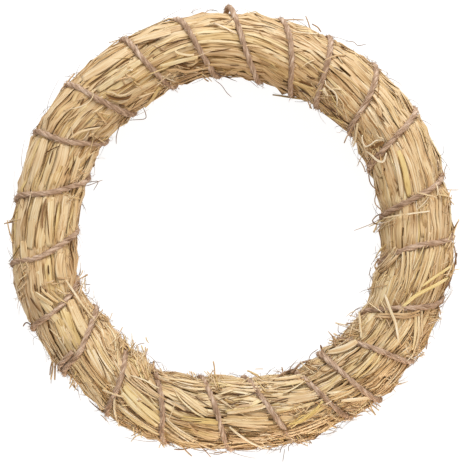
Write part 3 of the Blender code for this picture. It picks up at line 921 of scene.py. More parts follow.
# %% Stalks laid over the others
LAID_OVER = [
    (2.4, 0.8, 0.8, [(335, 124, 0.2), (341, 131, 1.3), (346, 144, 0.9), (348, 150, -0.3)]),
    (1.9, 0.78, 0.7, [(343.5, 132, 0.2), (347, 139, 1.2), (350, 147, 0.8), (351.3, 151.5, -0.4)]),
    (1.1, 0.7, 0, [(355.5, 146, 0.5), (358.5, 150, 0.6), (363, 154.8, 0.5)]),
    (1.8, 0.3, -0.8, [(344.5, 149, 0.2), (349, 152.8, 0.5), (354.5, 154, 0.4)]),
    (1.1, 0.9, 0, [(4.8, 103, 0.5), (5.4, 115, 1.6), (5.7, 133.5, 0.9)]),
    (1, 0.82, -0.1, [(11.6, 126.5, 0.6), (10.4, 133, 2.7), (9.2, 139.5, 1.2)]),
    (0.9, 0.86, 0, [(12.8, 140.8, 1.4), (11.3, 140.9, 2.8), (9.7, 140, 0.8)]),
    (0.9, 0.7, 0.2, [(8.3, 151.5, 0.4), (9.2, 146.5, 1.6), (9.9, 141, 0.9)]),
    (4.2, 0.66, 0.7, [(10.8, 121.4, -0.4), (16, 122, 0.9), (19, 122.8, 0.9), (25.5, 124.2, -0.5)]),
    (3.2, 0.8, -0.1, [(10.8, 116.3, -0.4), (17, 118, 0.8), (22, 119.4, 0.8), (28.5, 121.2, -0.4)]),
    (1.9, 0.32, 1, [(58, 104.6, 0), (62, 101.4, 0), (67, 98.6, 0), (72.8, 96.6, 0)]),
    (1.3, 0.34, -0.7, [(170, 124.6, 0.2), (173, 125.6, 0.9), (176, 125.9, 0.9), (179, 125.2, 0.2)]),
    (1.6, 0.8, 0, [(196.5, 114.8, 0.6), (201, 112.5, 1.8), (206, 110.6, 2.9), (213.5, 108.5, 0.5)]),
    (3.2, 0.74, 0.1, [(197.4, 137.2, 0.3), (199.8, 133, 1.2), (202.6, 128.2, 0.2)]),
    (2.4, 0.66, 0.1, [(196.6, 132.5, 0.2), (199.6, 128.5, 1), (202.6, 124.2, 0.2)]),
    (1.9, 0.7, 0, [(214.8, 147.5, 0.5), (217.3, 151.3, 0.7), (219.6, 157.8, 0.5)]),
    (1.4, 0.6, -0.3, [(216.8, 148, 0.2), (218.6, 152, 0.4), (220.3, 156, 0.3)]),
    (1.5, 0.86, 0, [(235.3, 135.5, 0.7), (237, 142, 1.7), (239.4, 149, 0.5)]),
    (1.3, 0.8, -0.1, [(231.2, 136, 1.2), (234, 133.7, 3), (237.3, 131.5, 1.1)]),
    (2.5, 0.76, 0.3, [(238.3, 139.5, 0.3), (244, 142, 1.3), (250.6, 144.3, 0.2)]),
    (4.6, 0.72, 0.5, [(235.8, 125.5, 0.4), (243, 130, 1.5), (250.3, 135.5, 0.3)]),
    (4, 0.76, 0.4, [(236.3, 130, 0.4), (243, 134.5, 1.6), (249.5, 139, 0.3)]),
    (1.8, 0.86, -0.1, [(269.8, 130.5, 0.5), (273, 137, 2), (277, 144.5, 1.8), (280.2, 149, 0.4)]),
    (2, 0.66, -0.7, [(271, 118.4, 0.2), (274.5, 116.6, 1.4), (279, 117.4, 0.2)]),
    (2.6, 0.8, -0.1, [(269, 120.9, 0.2), (275, 119.8, 1.5), (281.5, 118.9, 0.2)]),
    (1.7, 0.68, 0.9, [(287, 134.6, 0.3), (290.5, 134.9, 1.4), (295, 132.3, 1.4), (298.5, 128.6, 0.3)]),
    (2.3, 0.62, 0.7, [(257.8, 129, 0.3), (261.5, 128.4, 1.3), (266.3, 127.6, 0.3)]),
    (2.5, 0.88, -0.1, [(303.2, 135, 0.6), (308, 142, 1.8), (312.8, 150, 0.4)]),
    (5.6, 0.8, -0.1, [(309, 104.5, 0.3), (314, 109, 1.4), (319, 112, 0.2)]),
    (2.1, 0.88, 0, [(326.2, 135, 0.7), (330.5, 126.5, 2.2), (334, 118, 3.1), (337.6, 111.5, 1)]),
    (1.9, 0.82, 0.1, [(320.7, 113, 0.6), (324, 107.5, 1.5), (327.8, 102.3, 0.4)]),
    (2.3, 0.78, 0.2, [(327, 145.5, 0.7), (331, 141, 1.8), (336, 135, 0.4)]),
    (1.8, 0.74, 0, [(325.5, 148, 0.4), (330, 144.5, 1.6), (334.5, 139.5, 0.4)]),
    (1.8, 0.56, -0.5, [(329.3, 111.5, 0.4), (332, 122, 1), (333.8, 130, 1), (336.3, 138, 0.4)]),
    (1.7, 0.62, -0.3, [(330.4, 112.5, 0.4), (333.2, 122.5, 1.3), (335, 131, 1.3), (337.3, 137, 0.3)]),
    (0.7, 0.8, 0, [(134.4, 131.6, 0.6), (135.3, 128.4, 1.5), (137.5, 127.3, 1.9), (139.8, 129, 1.9),
        (141.7, 132, 1.5), (144.1, 137.4, 0.6)]),
    (0.7, 0.8, 0, [(135.6, 118.6, 0.8), (137.6, 119.7, 1.6), (139.4, 121.2, 0.8)]),
    (1.3, 0.78, -0.2, [(131.8, 124.5, 0.6), (130.3, 121, 1.3), (129.5, 117.2, 1.7), (127.8, 114.8, 1.7),
        (125.1, 114.1, 1.3), (121.5, 113.7, 0.6)]),
    (1.6, 0.76, -0.1, [(150, 123.5, 0.5), (146.5, 119.9, 0.9), (143.9, 115.7, 0.9), (141.4, 111.3, 0.5)]),
    (2.1, 0.74, 0, [(138.3, 119, 0.1), (138.5, 114.1, 0.7), (139.1, 109.8, 0.1)]),
    (0.5, 0.72, -0.2, [(146.8, 114.3, 0.7), (145.6, 112.9, 1.5), (145.9, 110.1, 1.5), (146.7, 110.1, 0.7)]),
    (1.9, 0.8, 0.1, [(107, 125.7, 0.8), (106.2, 123.3, 1.8), (103.7, 120.7, 1.8), (101.6, 120.1, 0.8)]),
    (2.9, 0.74, 0.3, [(113.1, 119.3, 0.6), (109.5, 118.3, 1.2), (106.1, 118.1, 1.4), (102.8, 118, 1.2),
        (100.6, 118.1, 0.6)]),
    (1.9, 0.56, -0.2, [(111.8, 115.3, 0.5), (108.8, 114, 0.8), (105, 110.4, 1), (100.7, 110.2, 0.8),
        (97.3, 110.8, 0.5)]),
    (1.9, 0.52, -0.4, [(106.7, 108, 0.4), (104, 108.1, 0.8), (101.4, 107.9, 0.8), (99.8, 108.7, 0.4)]),
    (2.3, 0.86, -0.1, [(56.8, 114, 1), (55.9, 112.3, 2), (54.2, 111.3, 1)]),
    (1.1, 0.84, 0, [(57.7, 118.8, 0.5), (56.8, 116.6, 1.2), (55, 116, 1.6), (52.7, 115.6, 1.6),
        (50.9, 113.2, 1.2), (49.4, 109.7, 0.5)]),
    (1, 0.8, -0.1, [(51.4, 114.8, 0.6), (49.3, 114, 1.3), (47.9, 112.9, 1.3), (46.8, 109.4, 0.6)]),
    (2.7, 0.66, 0.4, [(67.7, 107.8, 0.6), (64, 108.5, 1), (59.6, 110.1, 0.6)]),
    (2.4, 0.58, 0.8, [(49.6, 101.7, 0.4), (46.9, 103.3, 0.6), (43.8, 104.8, 0.4)]),
    (1.7, 0.8, 0, [(40.2, 111.3, 0.6), (38.2, 107.5, 1.3), (35.9, 103.5, 1.3), (34.6, 100.7, 0.6)]),
    (1.1, 0.86, 0, [(36, 109.1, 0.7), (34.3, 107, 1.7), (32, 106.5, 2.3), (31.6, 110, 2.3),
        (31.8, 114.3, 1.7), (30.7, 118.9, 0.7)]),
    (1.5, 0.86, -0.1, [(31.1, 105.5, 0.8), (28.3, 107.2, 1.9), (25.8, 108.7, 2.4), (24.4, 112.1, 1.9),
        (26.6, 116.3, 0.8)]),
    (0.8, 0.82, 0, [(33.4, 116.8, 1.1), (32.1, 117.1, 2.2), (31.1, 119.4, 1.1)]),
    (0.6, 0.78, -0.2, [(252.2, 119.1, 0.2), (252.2, 125.6, 1.8), (251.9, 132.8, 0.2)]),
    (1.7, 0.72, 0.2, [(247.5, 107.2, 0.2), (254.1, 104.5, 0.9), (259.8, 104.2, 0.2)]),
    (1.3, 0.76, 0, [(235.5, 117, 0.2), (240.5, 114.8, 1), (245.8, 115.3, 0.2)]),
    (1, 0.8, 0.1, [(251.7, 134, 0.2), (254.9, 137.7, 1.3), (260.1, 143.2, 0.2)]),
    (1.4, 0.72, 0.5, [(271.9, 119.6, 0.2), (276.2, 117.6, 1), (280.5, 115, 0.2)]),
    (0.9, 0.7, 0.8, [(287.1, 137.4, 0.2), (290.7, 134.4, 1.3), (294.8, 131.7, 0.2)]),
    (0.8, 0.66, 0.7, [(286.5, 135.4, 0.2), (290.6, 132.1, 1.1), (292.5, 132.2, 0.2)]),
    (1.5, 0.76, 0.1, [(265.9, 109.5, 0.2), (271.8, 106.2, 0.9), (277.3, 107.6, 0.2)]),
    (1.2, 0.74, 0, [(286.4, 120.9, 0.2), (291.9, 122.2, 0.9), (297.6, 125, 0.2)]),
]
place_stalks("straw_laid_over", LAID_OVER, 0.7 * MM, 21, sharp_end=0.7)

# %% [markdown]
# ## Broad leaf sheaths
# A leaf of barley starts as a sheath that wraps the stem. Torn off and dried it is a flat band of 4 to 8
# mm. Such bands lie between two turns of twine here and there, and both their ends go under.

# %% Broad sheaths between the turns
BROAD_SHEATHS = [
    (4.1, 0.74, 0, [(282.4, 109.2, -0.6), (288.5, 108.1, 0.4), (295.4, 109.6, -0.6)]),
    (2.7, 0.7, 0.3, [(283.6, 123.5, -0.6), (289.3, 125, 0.4), (296, 127.3, -0.6)]),
    (6.7, 0.68, -0.1, [(153.5, 138.6, -0.7), (159, 136.6, 0.2), (166.8, 136.2, -0.7)]),
    (4.7, 0.7, 0.15, [(154.7, 129.7, -0.7), (159.4, 128.4, 0.2), (166.6, 128.8, -0.7)]),
    (8, 0.69, -0.15, [(152.5, 124.2, -0.7), (157.6, 121.7, 0.2), (165.2, 121.3, -0.7)]),
    (4, 0.66, 0, [(152.1, 113, -0.7), (156.8, 111.5, 0.2), (163.7, 110.7, -0.7)]),
    (4.7, 0.68, 0.1, [(149.2, 105.8, -0.7), (154.4, 104.4, 0.2), (161.3, 104.8, -0.7)]),
    (4, 0.66, 0, [(171, 141.2, -0.7), (176.8, 141.5, 0.2), (184.6, 143, -0.7)]),
    (6.7, 0.71, 0.05, [(169.6, 129.6, -0.7), (173.7, 130.9, 0.2), (178.8, 132.7, -0.7)]),
    (6, 0.7, 0.1, [(175.5, 133.1, -0.7), (180.5, 133.3, 0.2), (185.1, 134.9, -0.7)]),
    (5.3, 0.72, 0.15, [(169.2, 121.5, -0.7), (176.2, 120.7, 0.2), (185.1, 121.4, -0.7)]),
    (6, 0.73, 0, [(168, 112, -0.7), (175.9, 111.7, 0.2), (184.4, 115, -0.7)]),
    (4, 0.68, 0.1, [(166.5, 105.4, -0.7), (173.6, 104.7, 0.2), (180.6, 105.7, -0.7)]),
    (8, 0.72, -0.2, [(134.4, 142, -0.7), (127.6, 139.1, 0.2), (119.5, 139, -0.7)]),
    (5.3, 0.72, -0.2, [(117.4, 142.1, -0.7), (112.3, 140, 0.2), (106.6, 138.8, -0.7)]),
    (4, 0.78, 0.2, [(133.5, 128.6, -0.7), (126.1, 126.8, 0.2), (117.6, 127.8, -0.7)]),
    (3.3, 0.72, 0.1, [(126.9, 114, -0.7), (121.2, 112.5, 0.2), (115.3, 112.2, -0.7)]),
    (4, 0.62, 0.6, [(124.5, 101.9, -0.7), (120.2, 103.6, 0.2), (115.9, 107.6, -0.7)]),
    (7, 0.72, 0, [(219.9, 122.2, -0.7), (225.7, 125.4, 0.2), (231.6, 130.2, -0.7)]),
    (4.7, 0.76, 0.4, [(235.7, 123.5, -0.7), (242.6, 126.5, 0.2), (249.6, 131.9, -0.7)]),
    (8, 0.66, 0.1, [(203.2, 116.6, -0.7), (209.6, 117.3, 0.2), (216.3, 118.4, -0.7)]),
    (5.3, 0.74, 0.2, [(197.4, 136.4, -0.7), (203.1, 132.3, 0.2), (209.2, 129, -0.7)]),
    (6, 0.7, 0.1, [(182.7, 138.9, -0.7), (186.9, 138.8, 0.2), (192, 138.8, -0.7)]),
    (5.3, 0.72, 0, [(187.4, 114.5, -0.7), (192.2, 117.3, 0.2), (197.2, 117.9, -0.7)]),
]
place_stalks("straw_broad", BROAD_SHEATHS, 0.5 * MM, 27, sharp_end=0.85)

# %% [markdown]
# ## Stalks that stray over the edges
# Some stalks hang over the bundle's edge into the open centre or past the outline. In the open they lie
# level with the bundle's middle. They have the same kind of row as before, because the eye finds each of
# them at once against the white table.

# %% Stalks that stray over the edges
STRAY_STALKS = [
    (1.2, 0.45, -0.4, [(359.5, 150.2, 0), (361.2, 152.3, 0), (362.8, 155, 0)]),
    (1.3, 0.35, -0.8, [(357.5, 150.3, 0), (354.5, 153, 0), (351.5, 154.6, 0)]),
    (1.1, 0.35, -0.6, [(349.5, 148.5, 0), (347.5, 151.5, 0), (345.2, 153.2, 0)]),
    (0.8, 0.4, -0.5, [(340.5, 147.5, 0), (339.3, 150.5, 0), (338.2, 153, 0)]),
    (0.8, 0.45, -0.3, [(333.2, 149, 0), (331, 152.5, 0), (329, 154.8, 0)]),
    (1.6, 0.35, -0.9, [(306.8, 105, 0.5), (307.6, 101.5, 0.3), (308.4, 98.2, 0)]),
    (1.3, 0.4, -0.7, [(312.2, 106, 0.5), (313.2, 102.5, 0.3), (314.3, 98.9, 0)]),
    (0.9, 0.45, -0.5, [(290.2, 105, 0.3), (290.4, 101.8, 0.2), (290.8, 98.2, 0)]),
    (2.8, 0.36, -1, [(293.3, 103.8, 0.2), (297.5, 101.4, 0.2), (301.5, 102.2, 0.2)]),
    (2.2, 0.4, -1, [(286, 104.2, 0.2), (290.5, 102, 0.2), (295, 102.4, 0.2)]),
    (1.1, 0.62, 0, [(256.3, 146.5, 0.2), (258.5, 151.5, 0), (260.3, 154.6, 0)]),
    (0.9, 0.52, 0, [(260.2, 147.5, 0.2), (258.2, 150.8, 0), (255.6, 152.6, 0)]),
    (1, 0.4, -0.4, [(215.2, 145, 0.4), (216.6, 151, 0), (218.6, 156.5, 0)]),
    (0.9, 0.3, -0.9, [(205.4, 147.8, 0.3), (204.2, 151.6, 0), (204.7, 154.6, 0)]),
    (0.8, 0.42, -0.2, [(177.6, 146.5, 0.3), (177.8, 150, 0), (178.1, 153.4, 0)]),
    (1.2, 0.62, 0, [(183, 146.8, 0.2), (180.2, 149.6, 0), (177.2, 151.4, 0)]),
    (0.8, 0.42, -0.3, [(68.4, 146.8, 0.3), (69.4, 150.5, 0), (70.7, 154.4, 0)]),
    (0.8, 0.46, -0.3, [(76, 147.3, 0.2), (73.2, 149.6, 0), (70.8, 151.4, 0)]),
    (1.2, 0.44, 0, [(65.5, 148.2, 0.2), (66.8, 150.2, 0), (68.5, 150.8, 0)]),
    (0.8, 0.35, -0.5, [(6.4, 102.5, 0.3), (6, 99.6, 0), (4.4, 96.4, 0)]),
    (0.9, 0.32, -0.7, [(4.4, 96.4, 0), (3.1, 97.4, 0), (2.5, 101.5, 0.2)]),
    (0.7, 0.4, -0.4, [(15, 101.6, 0.2), (11, 99.8, 0), (7.4, 102.8, 0.2)]),
    (0.8, 0.4, -0.3, [(24, 102, 0.2), (19, 100.2, 0), (13.8, 103.6, 0.2)]),
    (0.9, 0.52, 0.1, [(344.5, 103, 0.2), (346.5, 100.6, 0), (349.5, 101.8, 0.2)]),
]
place_stalks("straw_strays", STRAY_STALKS, 0.7 * MM, 23)

# %% [markdown]
# ## Single hairs
# A split stalk sheds hairs of half a millimetre that bend freely. Seen against the table, they are most of
# what makes straw look like straw at its edges, so the longest ones are listed one by one as well.

# %% Single hairs
HAIRS = [
    (0.45, 0.35, -0.6, [(5.3, 103.5, 0.2), (3.3, 97, 0), (1.8, 90.5, 0), (0.2, 83.5, 0)]),
    (0.5, 0.3, -0.6, [(125.2, 104.2, 0.2), (125.7, 98.5, 0), (127.4, 95.6, 0), (132.3, 101.4, 0.2)]),
    (0.5, 0.3, -0.6, [(134, 104.2, 0.2), (138, 102.2, 0), (140.6, 99.9, 0), (142.6, 97.2, 0)]),
    (0.45, 0.3, -0.6, [(163.2, 103.4, 0.2), (161, 98.4, 0), (158.2, 93.2, 0)]),
    (0.45, 0.3, -0.6, [(162, 104, 0.2), (160.2, 99, 0), (159.6, 95.5, 0), (163.4, 96.6, 0)]),
    (0.45, 0.3, -0.6, [(96.9, 147.2, 0.2), (95.2, 149.8, 0), (93.2, 148.2, 0.1)]),
    (0.4, 0.3, -0.6, [(96, 103, 0.1), (93.5, 99, 0), (91.5, 93.8, 0), (89.5, 90.8, 0)]),
    (0.4, 0.3, -0.6, [(58.8, 150.4, 0.1), (57, 152.8, 0), (55.4, 152.6, 0), (54, 156.6, 0)]),
    (0.45, 0.3, -0.6, [(14.4, 148.2, 0.2), (16, 151, 0), (17.2, 153.4, 0)]),
    (0.5, 0.35, -0.4, [(10.9, 147.4, 0.3), (10.5, 152.5, 0), (10.2, 157.2, 0)]),
    (0.45, 0.3, -0.6, [(199, 108, 0.4), (200.2, 104.5, 0.1), (200.9, 101.4, 0)]),
    (0.4, 0.35, -0.4, [(216.2, 147.5, 0.2), (217.6, 152.5, 0), (220.4, 159.5, 0)]),
    (0.45, 0.3, -0.5, [(284.6, 147.2, 0.2), (283.4, 150.2, 0), (282.6, 153.8, 0)]),
    (0.4, 0.3, -0.5, [(286.6, 147.6, 0.2), (285.2, 151, 0), (284.8, 154.2, 0)]),
    (0.35, 0.3, -0.5, [(284, 152, 0), (283.4, 156, 0), (282.8, 160, 0)]),
    (0.4, 0.3, -0.5, [(292.8, 147.8, 0.2), (295, 151.6, 0), (297.6, 153.2, 0)]),
    (0.4, 0.3, -0.5, [(295.6, 148.2, 0.1), (298.5, 150.8, 0), (299.6, 154, 0)]),
    (0.4, 0.3, -0.5, [(288.8, 147.6, 0.2), (290.8, 150.6, 0), (290.4, 154.2, 0)]),
    (0.4, 0.3, -0.5, [(278.8, 148, 0.1), (280.5, 150.6, 0), (283.2, 151.4, 0)]),
    (0.45, 0.35, -0.5, [(265.2, 147.6, 0.2), (262.5, 149.8, 0), (259, 149.2, 0.1)]),
    (0.45, 0.35, -0.5, [(269.5, 148.2, 0.2), (267, 151.2, 0), (264.5, 151, 0)]),
    (0.4, 0.35, -0.5, [(291.5, 104, 0.2), (289, 100.5, 0), (286.8, 98.8, 0)]),
    (0.45, 0.35, -0.5, [(300.4, 103.6, 0.1), (303, 99.8, 0), (306.6, 99.4, 0)]),
    (0.45, 0.35, -0.5, [(318.4, 104.2, 0.2), (317, 100.2, 0), (318.8, 97, 0)]),
    (0.45, 0.35, -0.5, [(330.2, 103.2, 0.2), (327.6, 100, 0), (324.4, 99.8, 0)]),
    (0.45, 0.35, -0.5, [(341, 102, 0.2), (342.6, 98.8, 0), (345.6, 98, 0)]),
    (0.45, 0.35, -0.5, [(322, 150, 0.1), (324.5, 153.2, 0), (327.5, 153, 0)]),
    (0.45, 0.35, -0.5, [(231.2, 103, 0.2), (231, 99, 0), (232.6, 95.4, 0)]),
    (0.45, 0.35, -0.5, [(262.6, 101, 0.2), (262.2, 97.4, 0), (263.6, 94.2, 0)]),
]
place_stalks("straw_hairs", HAIRS, 0.5 * MM, 24)

# %% [markdown]
# ## Dark slits
# Between handfuls one looks into narrow gaps that are nearly black. A real gap as deep would need the
# layers below to part. Here the gap's shadow is painted: a dark sliver, pointed at both ends, that lies over
# the gap like a thin brown leaf.

# %% Dark slits between handfuls
# Painted shadow: thin dark slivers laid over the gaps between handfuls
PAINTED_SHADOW_SLITS = [
    (0.7, 0.06, 0, [(253.4, 123.7, 0.4), (256.6, 124.1, 0.9), (259.7, 123.6, 0.4)]),
    (0.7, 0.06, 0, [(251.8, 131.3, 0.4), (255.4, 130.4, 0.9), (259.1, 129.6, 0.4)]),
    (0.6, 0.08, 0, [(253.9, 116.4, 0.4), (256.2, 116.2, 0.9), (258.4, 117.3, 0.4)]),
    (0.6, 0.1, 0, [(238.8, 138.6, 0.4), (241.6, 140.5, 0.9), (244.3, 141.8, 0.4)]),
    (0.6, 0.1, 0, [(257.3, 112, 0.4), (260.8, 115.4, 0.9), (264, 118.1, 0.4)]),
    (0.8, 0.08, 0, [(269.9, 108.9, 0.4), (275, 109.8, 0.9), (280.1, 109.9, 0.4)]),
    (0.6, 0.05, 0, [(266, 113.3, 0.4), (267.3, 112, 0.9), (268.6, 111.3, 0.4)]),
    (0.8, 0.08, 0, [(268.6, 133.2, 0.4), (272.3, 134.1, 0.9), (275.8, 135.9, 0.4)]),
    (0.6, 0.06, 0, [(281.2, 104.4, 0.4), (282.6, 107, 0.9), (283.9, 108, 0.4)]),
    (0.6, 0.08, 0, [(285.7, 118.8, 0.4), (288.3, 119.1, 0.9), (290.6, 117.8, 0.4)]),
    (0.6, 0.08, 0, [(289.7, 135.1, 0.4), (291, 135.4, 0.9), (292.4, 135.9, 0.4)]),
    (0.8, 0.1, 0, [(315, 123.4, 0.4), (317.7, 122.7, 0.9), (320.1, 122.2, 0.4)]),
    (0.7, 0.12, 0, [(321.5, 115.3, 0.4), (324.5, 115.3, 0.9), (328.1, 115.4, 0.4)]),
    (0.8, 0.1, 0, [(323.6, 127, 0.4), (327.1, 127.5, 0.9), (330.5, 128.5, 0.4)]),
    (0.7, 0.1, 0, [(306.4, 118.9, 0.4), (307.6, 117, 0.9), (308.7, 116.5, 0.4)]),
    (1, 0.1, 0, [(190.4, 123.5, 0.6), (192, 124, 0.9), (193.6, 124.4, 0.6)]),
    (1.2, 0.08, 0, [(195, 135.4, 0.6), (196.3, 135.8, 0.9), (197.6, 136.2, 0.6)]),
    (1.1, 0.08, 0, [(196, 132, 0.6), (197.1, 132.5, 0.9), (198.2, 133.1, 0.6)]),
    (1.3, 0.06, 0, [(197.2, 129.5, 0.6), (198.4, 129.6, 0.9), (199.7, 129.7, 0.6)]),
    (1.5, 0.1, 0, [(198.2, 141.2, 0.5), (200.8, 139.5, 0.8), (203.4, 137.4, 0.5)]),
    (2.3, 0.16, 0, [(132.2, 123.5, 0.6), (131.7, 119.2, 0.9), (130.3, 115.5, 1), (127.8, 112.4, 0.9),
        (125.7, 112.5, 0.6)]),
    (1.3, 0.06, 0, [(131.4, 112.8, 0.7), (130.8, 110.9, 1), (130.1, 109.2, 0.7)]),
    (0.9, 0.1, 0, [(128.8, 105.3, 0.7), (125.7, 106.9, 1), (123.5, 106.9, 0.7)]),
    (0.8, 0.12, 0, [(130.6, 123.7, 0.6), (128.7, 120.5, 1), (126, 119.7, 1), (122.5, 118.8, 0.6)]),
    (0.9, 0.15, 0, [(146.8, 120, 0.6), (144.7, 118.1, 1), (142.5, 114.2, 1), (140.5, 110.9, 0.6)]),
    (1.6, 0.03, 0, [(147.5, 112.6, 0.7), (146.5, 112.2, 1), (145.7, 111.6, 0.7)]),
    (1, 0.08, 0, [(146.2, 109.1, 0.7), (145.2, 108.1, 1), (144.1, 107.6, 0.7)]),
    (0.6, 0.18, 0, [(138.4, 106.7, 0.7), (136.6, 105.8, 1), (134.7, 105.6, 0.7)]),
    (0.6, 0.18, 0, [(143.1, 124.6, 0.7), (140.2, 123.5, 1), (138.1, 121.6, 0.7)]),
    (1.2, 0.08, 0, [(140.1, 130.5, 0.7), (138.9, 130.8, 1), (137.8, 131.6, 0.7)]),
    (0.6, 0.18, 0, [(148.2, 133.8, 0.7), (145.3, 132.7, 1), (142.3, 131.9, 0.7)]),
    (1.2, 0.05, 0, [(112.2, 117.4, 0.6), (110.1, 116.5, 0.9), (107.9, 116.7, 1), (105.5, 116.2, 0.9),
        (102.4, 114.6, 0.6)]),
    (1.7, 0.12, 0, [(106.7, 115.3, 0.7), (105.5, 114.4, 1), (104.5, 113.1, 0.7)]),
    (1.2, 0.05, 0, [(109.2, 109.4, 0.7), (108, 109.2, 1), (106.8, 109.1, 0.7)]),
    (1.5, 0.15, 0, [(95.8, 108, 0.6), (93.3, 104.8, 1), (90.2, 103, 1), (87.4, 101.5, 0.6)]),
    (0.9, 0.12, 0, [(96.9, 120.1, 0.7), (94, 120.3, 1), (89.8, 121.5, 0.7)]),
    (0.9, 0.06, 0, [(90.2, 110.7, 0.7), (88.5, 110.7, 1), (86.8, 110.9, 0.7)]),
    (0.9, 0.18, 0, [(114.5, 137.6, 0.7), (111.8, 137.1, 1), (109.1, 137.3, 0.7)]),
    (0.8, 0.14, 0, [(115.1, 128.5, 0.6), (112.9, 130.6, 0.9), (109.5, 131.6, 1), (105.9, 131.4, 0.9),
        (103.3, 131.7, 0.6)]),
    (1.1, 0.03, 0, [(54.7, 115.1, 0.7), (53.6, 114.6, 1), (52.3, 113.9, 0.7)]),
    (1.7, 0.03, 0, [(53.6, 105.4, 0.7), (51.3, 105.5, 1), (47.9, 106.7, 0.7)]),
    (1.2, 0.03, 0, [(47.5, 105.3, 0.7), (46.1, 105.8, 1), (44.7, 106.4, 0.7)]),
    (1.6, 0.06, 0, [(64.2, 104.5, 0.7), (62, 105.6, 1), (59.4, 105.4, 0.7)]),
    (1.7, 0.15, 0, [(65.5, 110.3, 0.7), (62.8, 110.9, 1), (60.2, 111.2, 0.7)]),
    (0.9, 0.12, 0, [(63.8, 115.3, 0.7), (62.1, 115.7, 1), (60.5, 116.4, 0.7)]),
    (0.7, 0.18, 0, [(51.5, 114.9, 0.7), (49.6, 114, 1), (47.9, 113.6, 0.7)]),
    (2.3, 0.24, 0, [(30.6, 108.9, 0.6), (30.3, 112.6, 1), (30.2, 116.4, 1), (29.8, 118.7, 0.6)]),
    (0.9, 0.05, 0, [(37.9, 109.7, 0.7), (37.4, 109.1, 1), (36.7, 108.5, 0.7)]),
    (1.1, 0.06, 0, [(22.3, 111.3, 0.7), (21.7, 110.7, 1), (21.2, 110, 0.7)]),
    (0.9, 0.25, 0, [(39.8, 119.3, 0.7), (37.1, 119.2, 1), (33.4, 119.6, 0.7)]),
    (0.7, 0.15, 0, [(170.7, 124, 0.2), (176.3, 122, 0.7), (183.9, 120.5, 0.2)]),
    (0.7, 0.15, 0, [(169.8, 117.2, 0.2), (176.1, 116.9, 0.7), (184.3, 118.2, 0.2)]),
    (0.6, 0.15, 0, [(154.8, 134.6, 0.2), (160, 132, 0.7), (166.5, 133.1, 0.2)]),
    (1.1, 0.08, 0, [(155.3, 129.7, 0.2), (157.7, 129.1, 0.7), (160, 128.4, 0.2)]),
    (0.6, 0.15, 0, [(153.1, 117, 0.2), (156.7, 114.3, 0.7), (161.4, 113.5, 0.2)]),
    (0.8, 0.06, 0, [(158.4, 115.5, 0.2), (159.8, 116, 0.7), (161.6, 116.8, 0.2)]),
    (0.7, 0.12, 0, [(171.2, 135.9, 0.2), (176.7, 136.1, 0.7), (183.1, 138, 0.2)]),
    (0.7, 0.12, 0, [(134.8, 136.5, 0.2), (130.2, 134.8, 0.7), (125.2, 134.9, 0.2)]),
    (0.7, 0.12, 0, [(115.7, 139.3, 0.2), (113.5, 138.6, 0.7), (110.5, 136.8, 0.2)]),
    (0.8, 0.08, 0, [(125.1, 133.4, 0.2), (123.2, 132.8, 0.7), (121, 133.1, 0.2)]),
    (0.8, 0.12, 0, [(221.3, 128.2, 0.2), (223.6, 128.7, 0.7), (225.4, 130.4, 0.2)]),
    (0.6, 0.15, 0, [(223.8, 122.1, 0.2), (226.9, 124.3, 0.7), (230.4, 128.5, 0.2)]),
    (0.9, 0.1, 0, [(35, 125.8, 0.7), (36.5, 125.5, 1), (38, 125, 0.7)]),
    (0.8, 0.1, 0, [(54.4, 129.8, 0.7), (56, 129.6, 1), (58, 129.2, 0.7)]),
    (0.7, 0.12, 0, [(34, 137.8, 0.6), (35.8, 137.6, 0.9), (37.6, 137.2, 0.6)]),
    (0.7, 0.12, 0, [(37, 143.3, 0.3), (41, 144, 0.6), (45, 143.5, 0.3)]),
    (0.7, 0.12, 0, [(56, 143.8, 0.4), (58.5, 144, 0.7), (60.8, 143.5, 0.4)]),
    (0.8, 0.12, 0, [(77, 138.3, 0.5), (81, 139, 0.8), (85, 137.6, 0.5)]),
    (0.8, 0.12, 0, [(128.4, 131.8, 0.5), (131.5, 132.3, 0.8), (134.6, 131.8, 0.5)]),
    (0.8, 0.12, 0, [(153.4, 127, 0.6), (155.5, 131, 0.9), (157.6, 134.5, 0.6)]),
    (0.9, 0.1, 0, [(220.2, 127.8, 0.6), (222.3, 128.3, 1), (224.6, 129, 0.6)]),
    (0.8, 0.12, 0, [(240, 127.5, 0.8), (243.5, 128.6, 1.6), (247, 130.3, 0.8)]),
    (0.9, 0.12, 0, [(252.2, 124, 0.6), (255, 124, 1), (258.2, 123, 0.6)]),
    (0.8, 0.1, 0, [(258, 129.8, 1), (261, 128.4, 1.5), (264.2, 127.2, 0.9)]),
    (0.8, 0.12, 0, [(266.8, 110.4, 0.6), (271, 108.8, 0.9), (275, 109.2, 0.6)]),
    (1.6, 0.08, 0, [(268.8, 135.4, 0.5), (270.8, 135.9, 0.8), (273.2, 136.6, 0.5)]),
    (0.8, 0.12, 0, [(269, 115.4, 0.8), (270.6, 115.2, 1.2), (272.4, 114.4, 0.7)]),
    (0.9, 0.1, 0, [(287.8, 136.8, 0.6), (289.6, 137.2, 0.9), (291.4, 137, 0.6)]),
    (0.8, 0.1, 0, [(290.8, 134.9, 0.6), (293, 134.8, 0.9), (295.4, 134.2, 0.6)]),
    (0.8, 0.12, 0, [(284.8, 117, 0.6), (288.5, 117.8, 0.9), (292.6, 119.6, 0.6)]),
    (0.9, 0.12, 0, [(301.2, 139.8, 0.5), (303, 140.4, 0.8), (305.2, 140.4, 0.5)]),
    (0.8, 0.12, 0, [(310.8, 134.2, 0.5), (313.4, 134.8, 0.8), (316.4, 134.8, 0.5)]),
    (0.8, 0.12, 0, [(310.2, 116.5, 0.5), (312.2, 116.3, 0.8), (314.6, 115.6, 0.5)]),
]
place_stalks("straw_shadow_slits", PAINTED_SHADOW_SLITS, 0.3 * MM, 22, sharp_end=0.1)

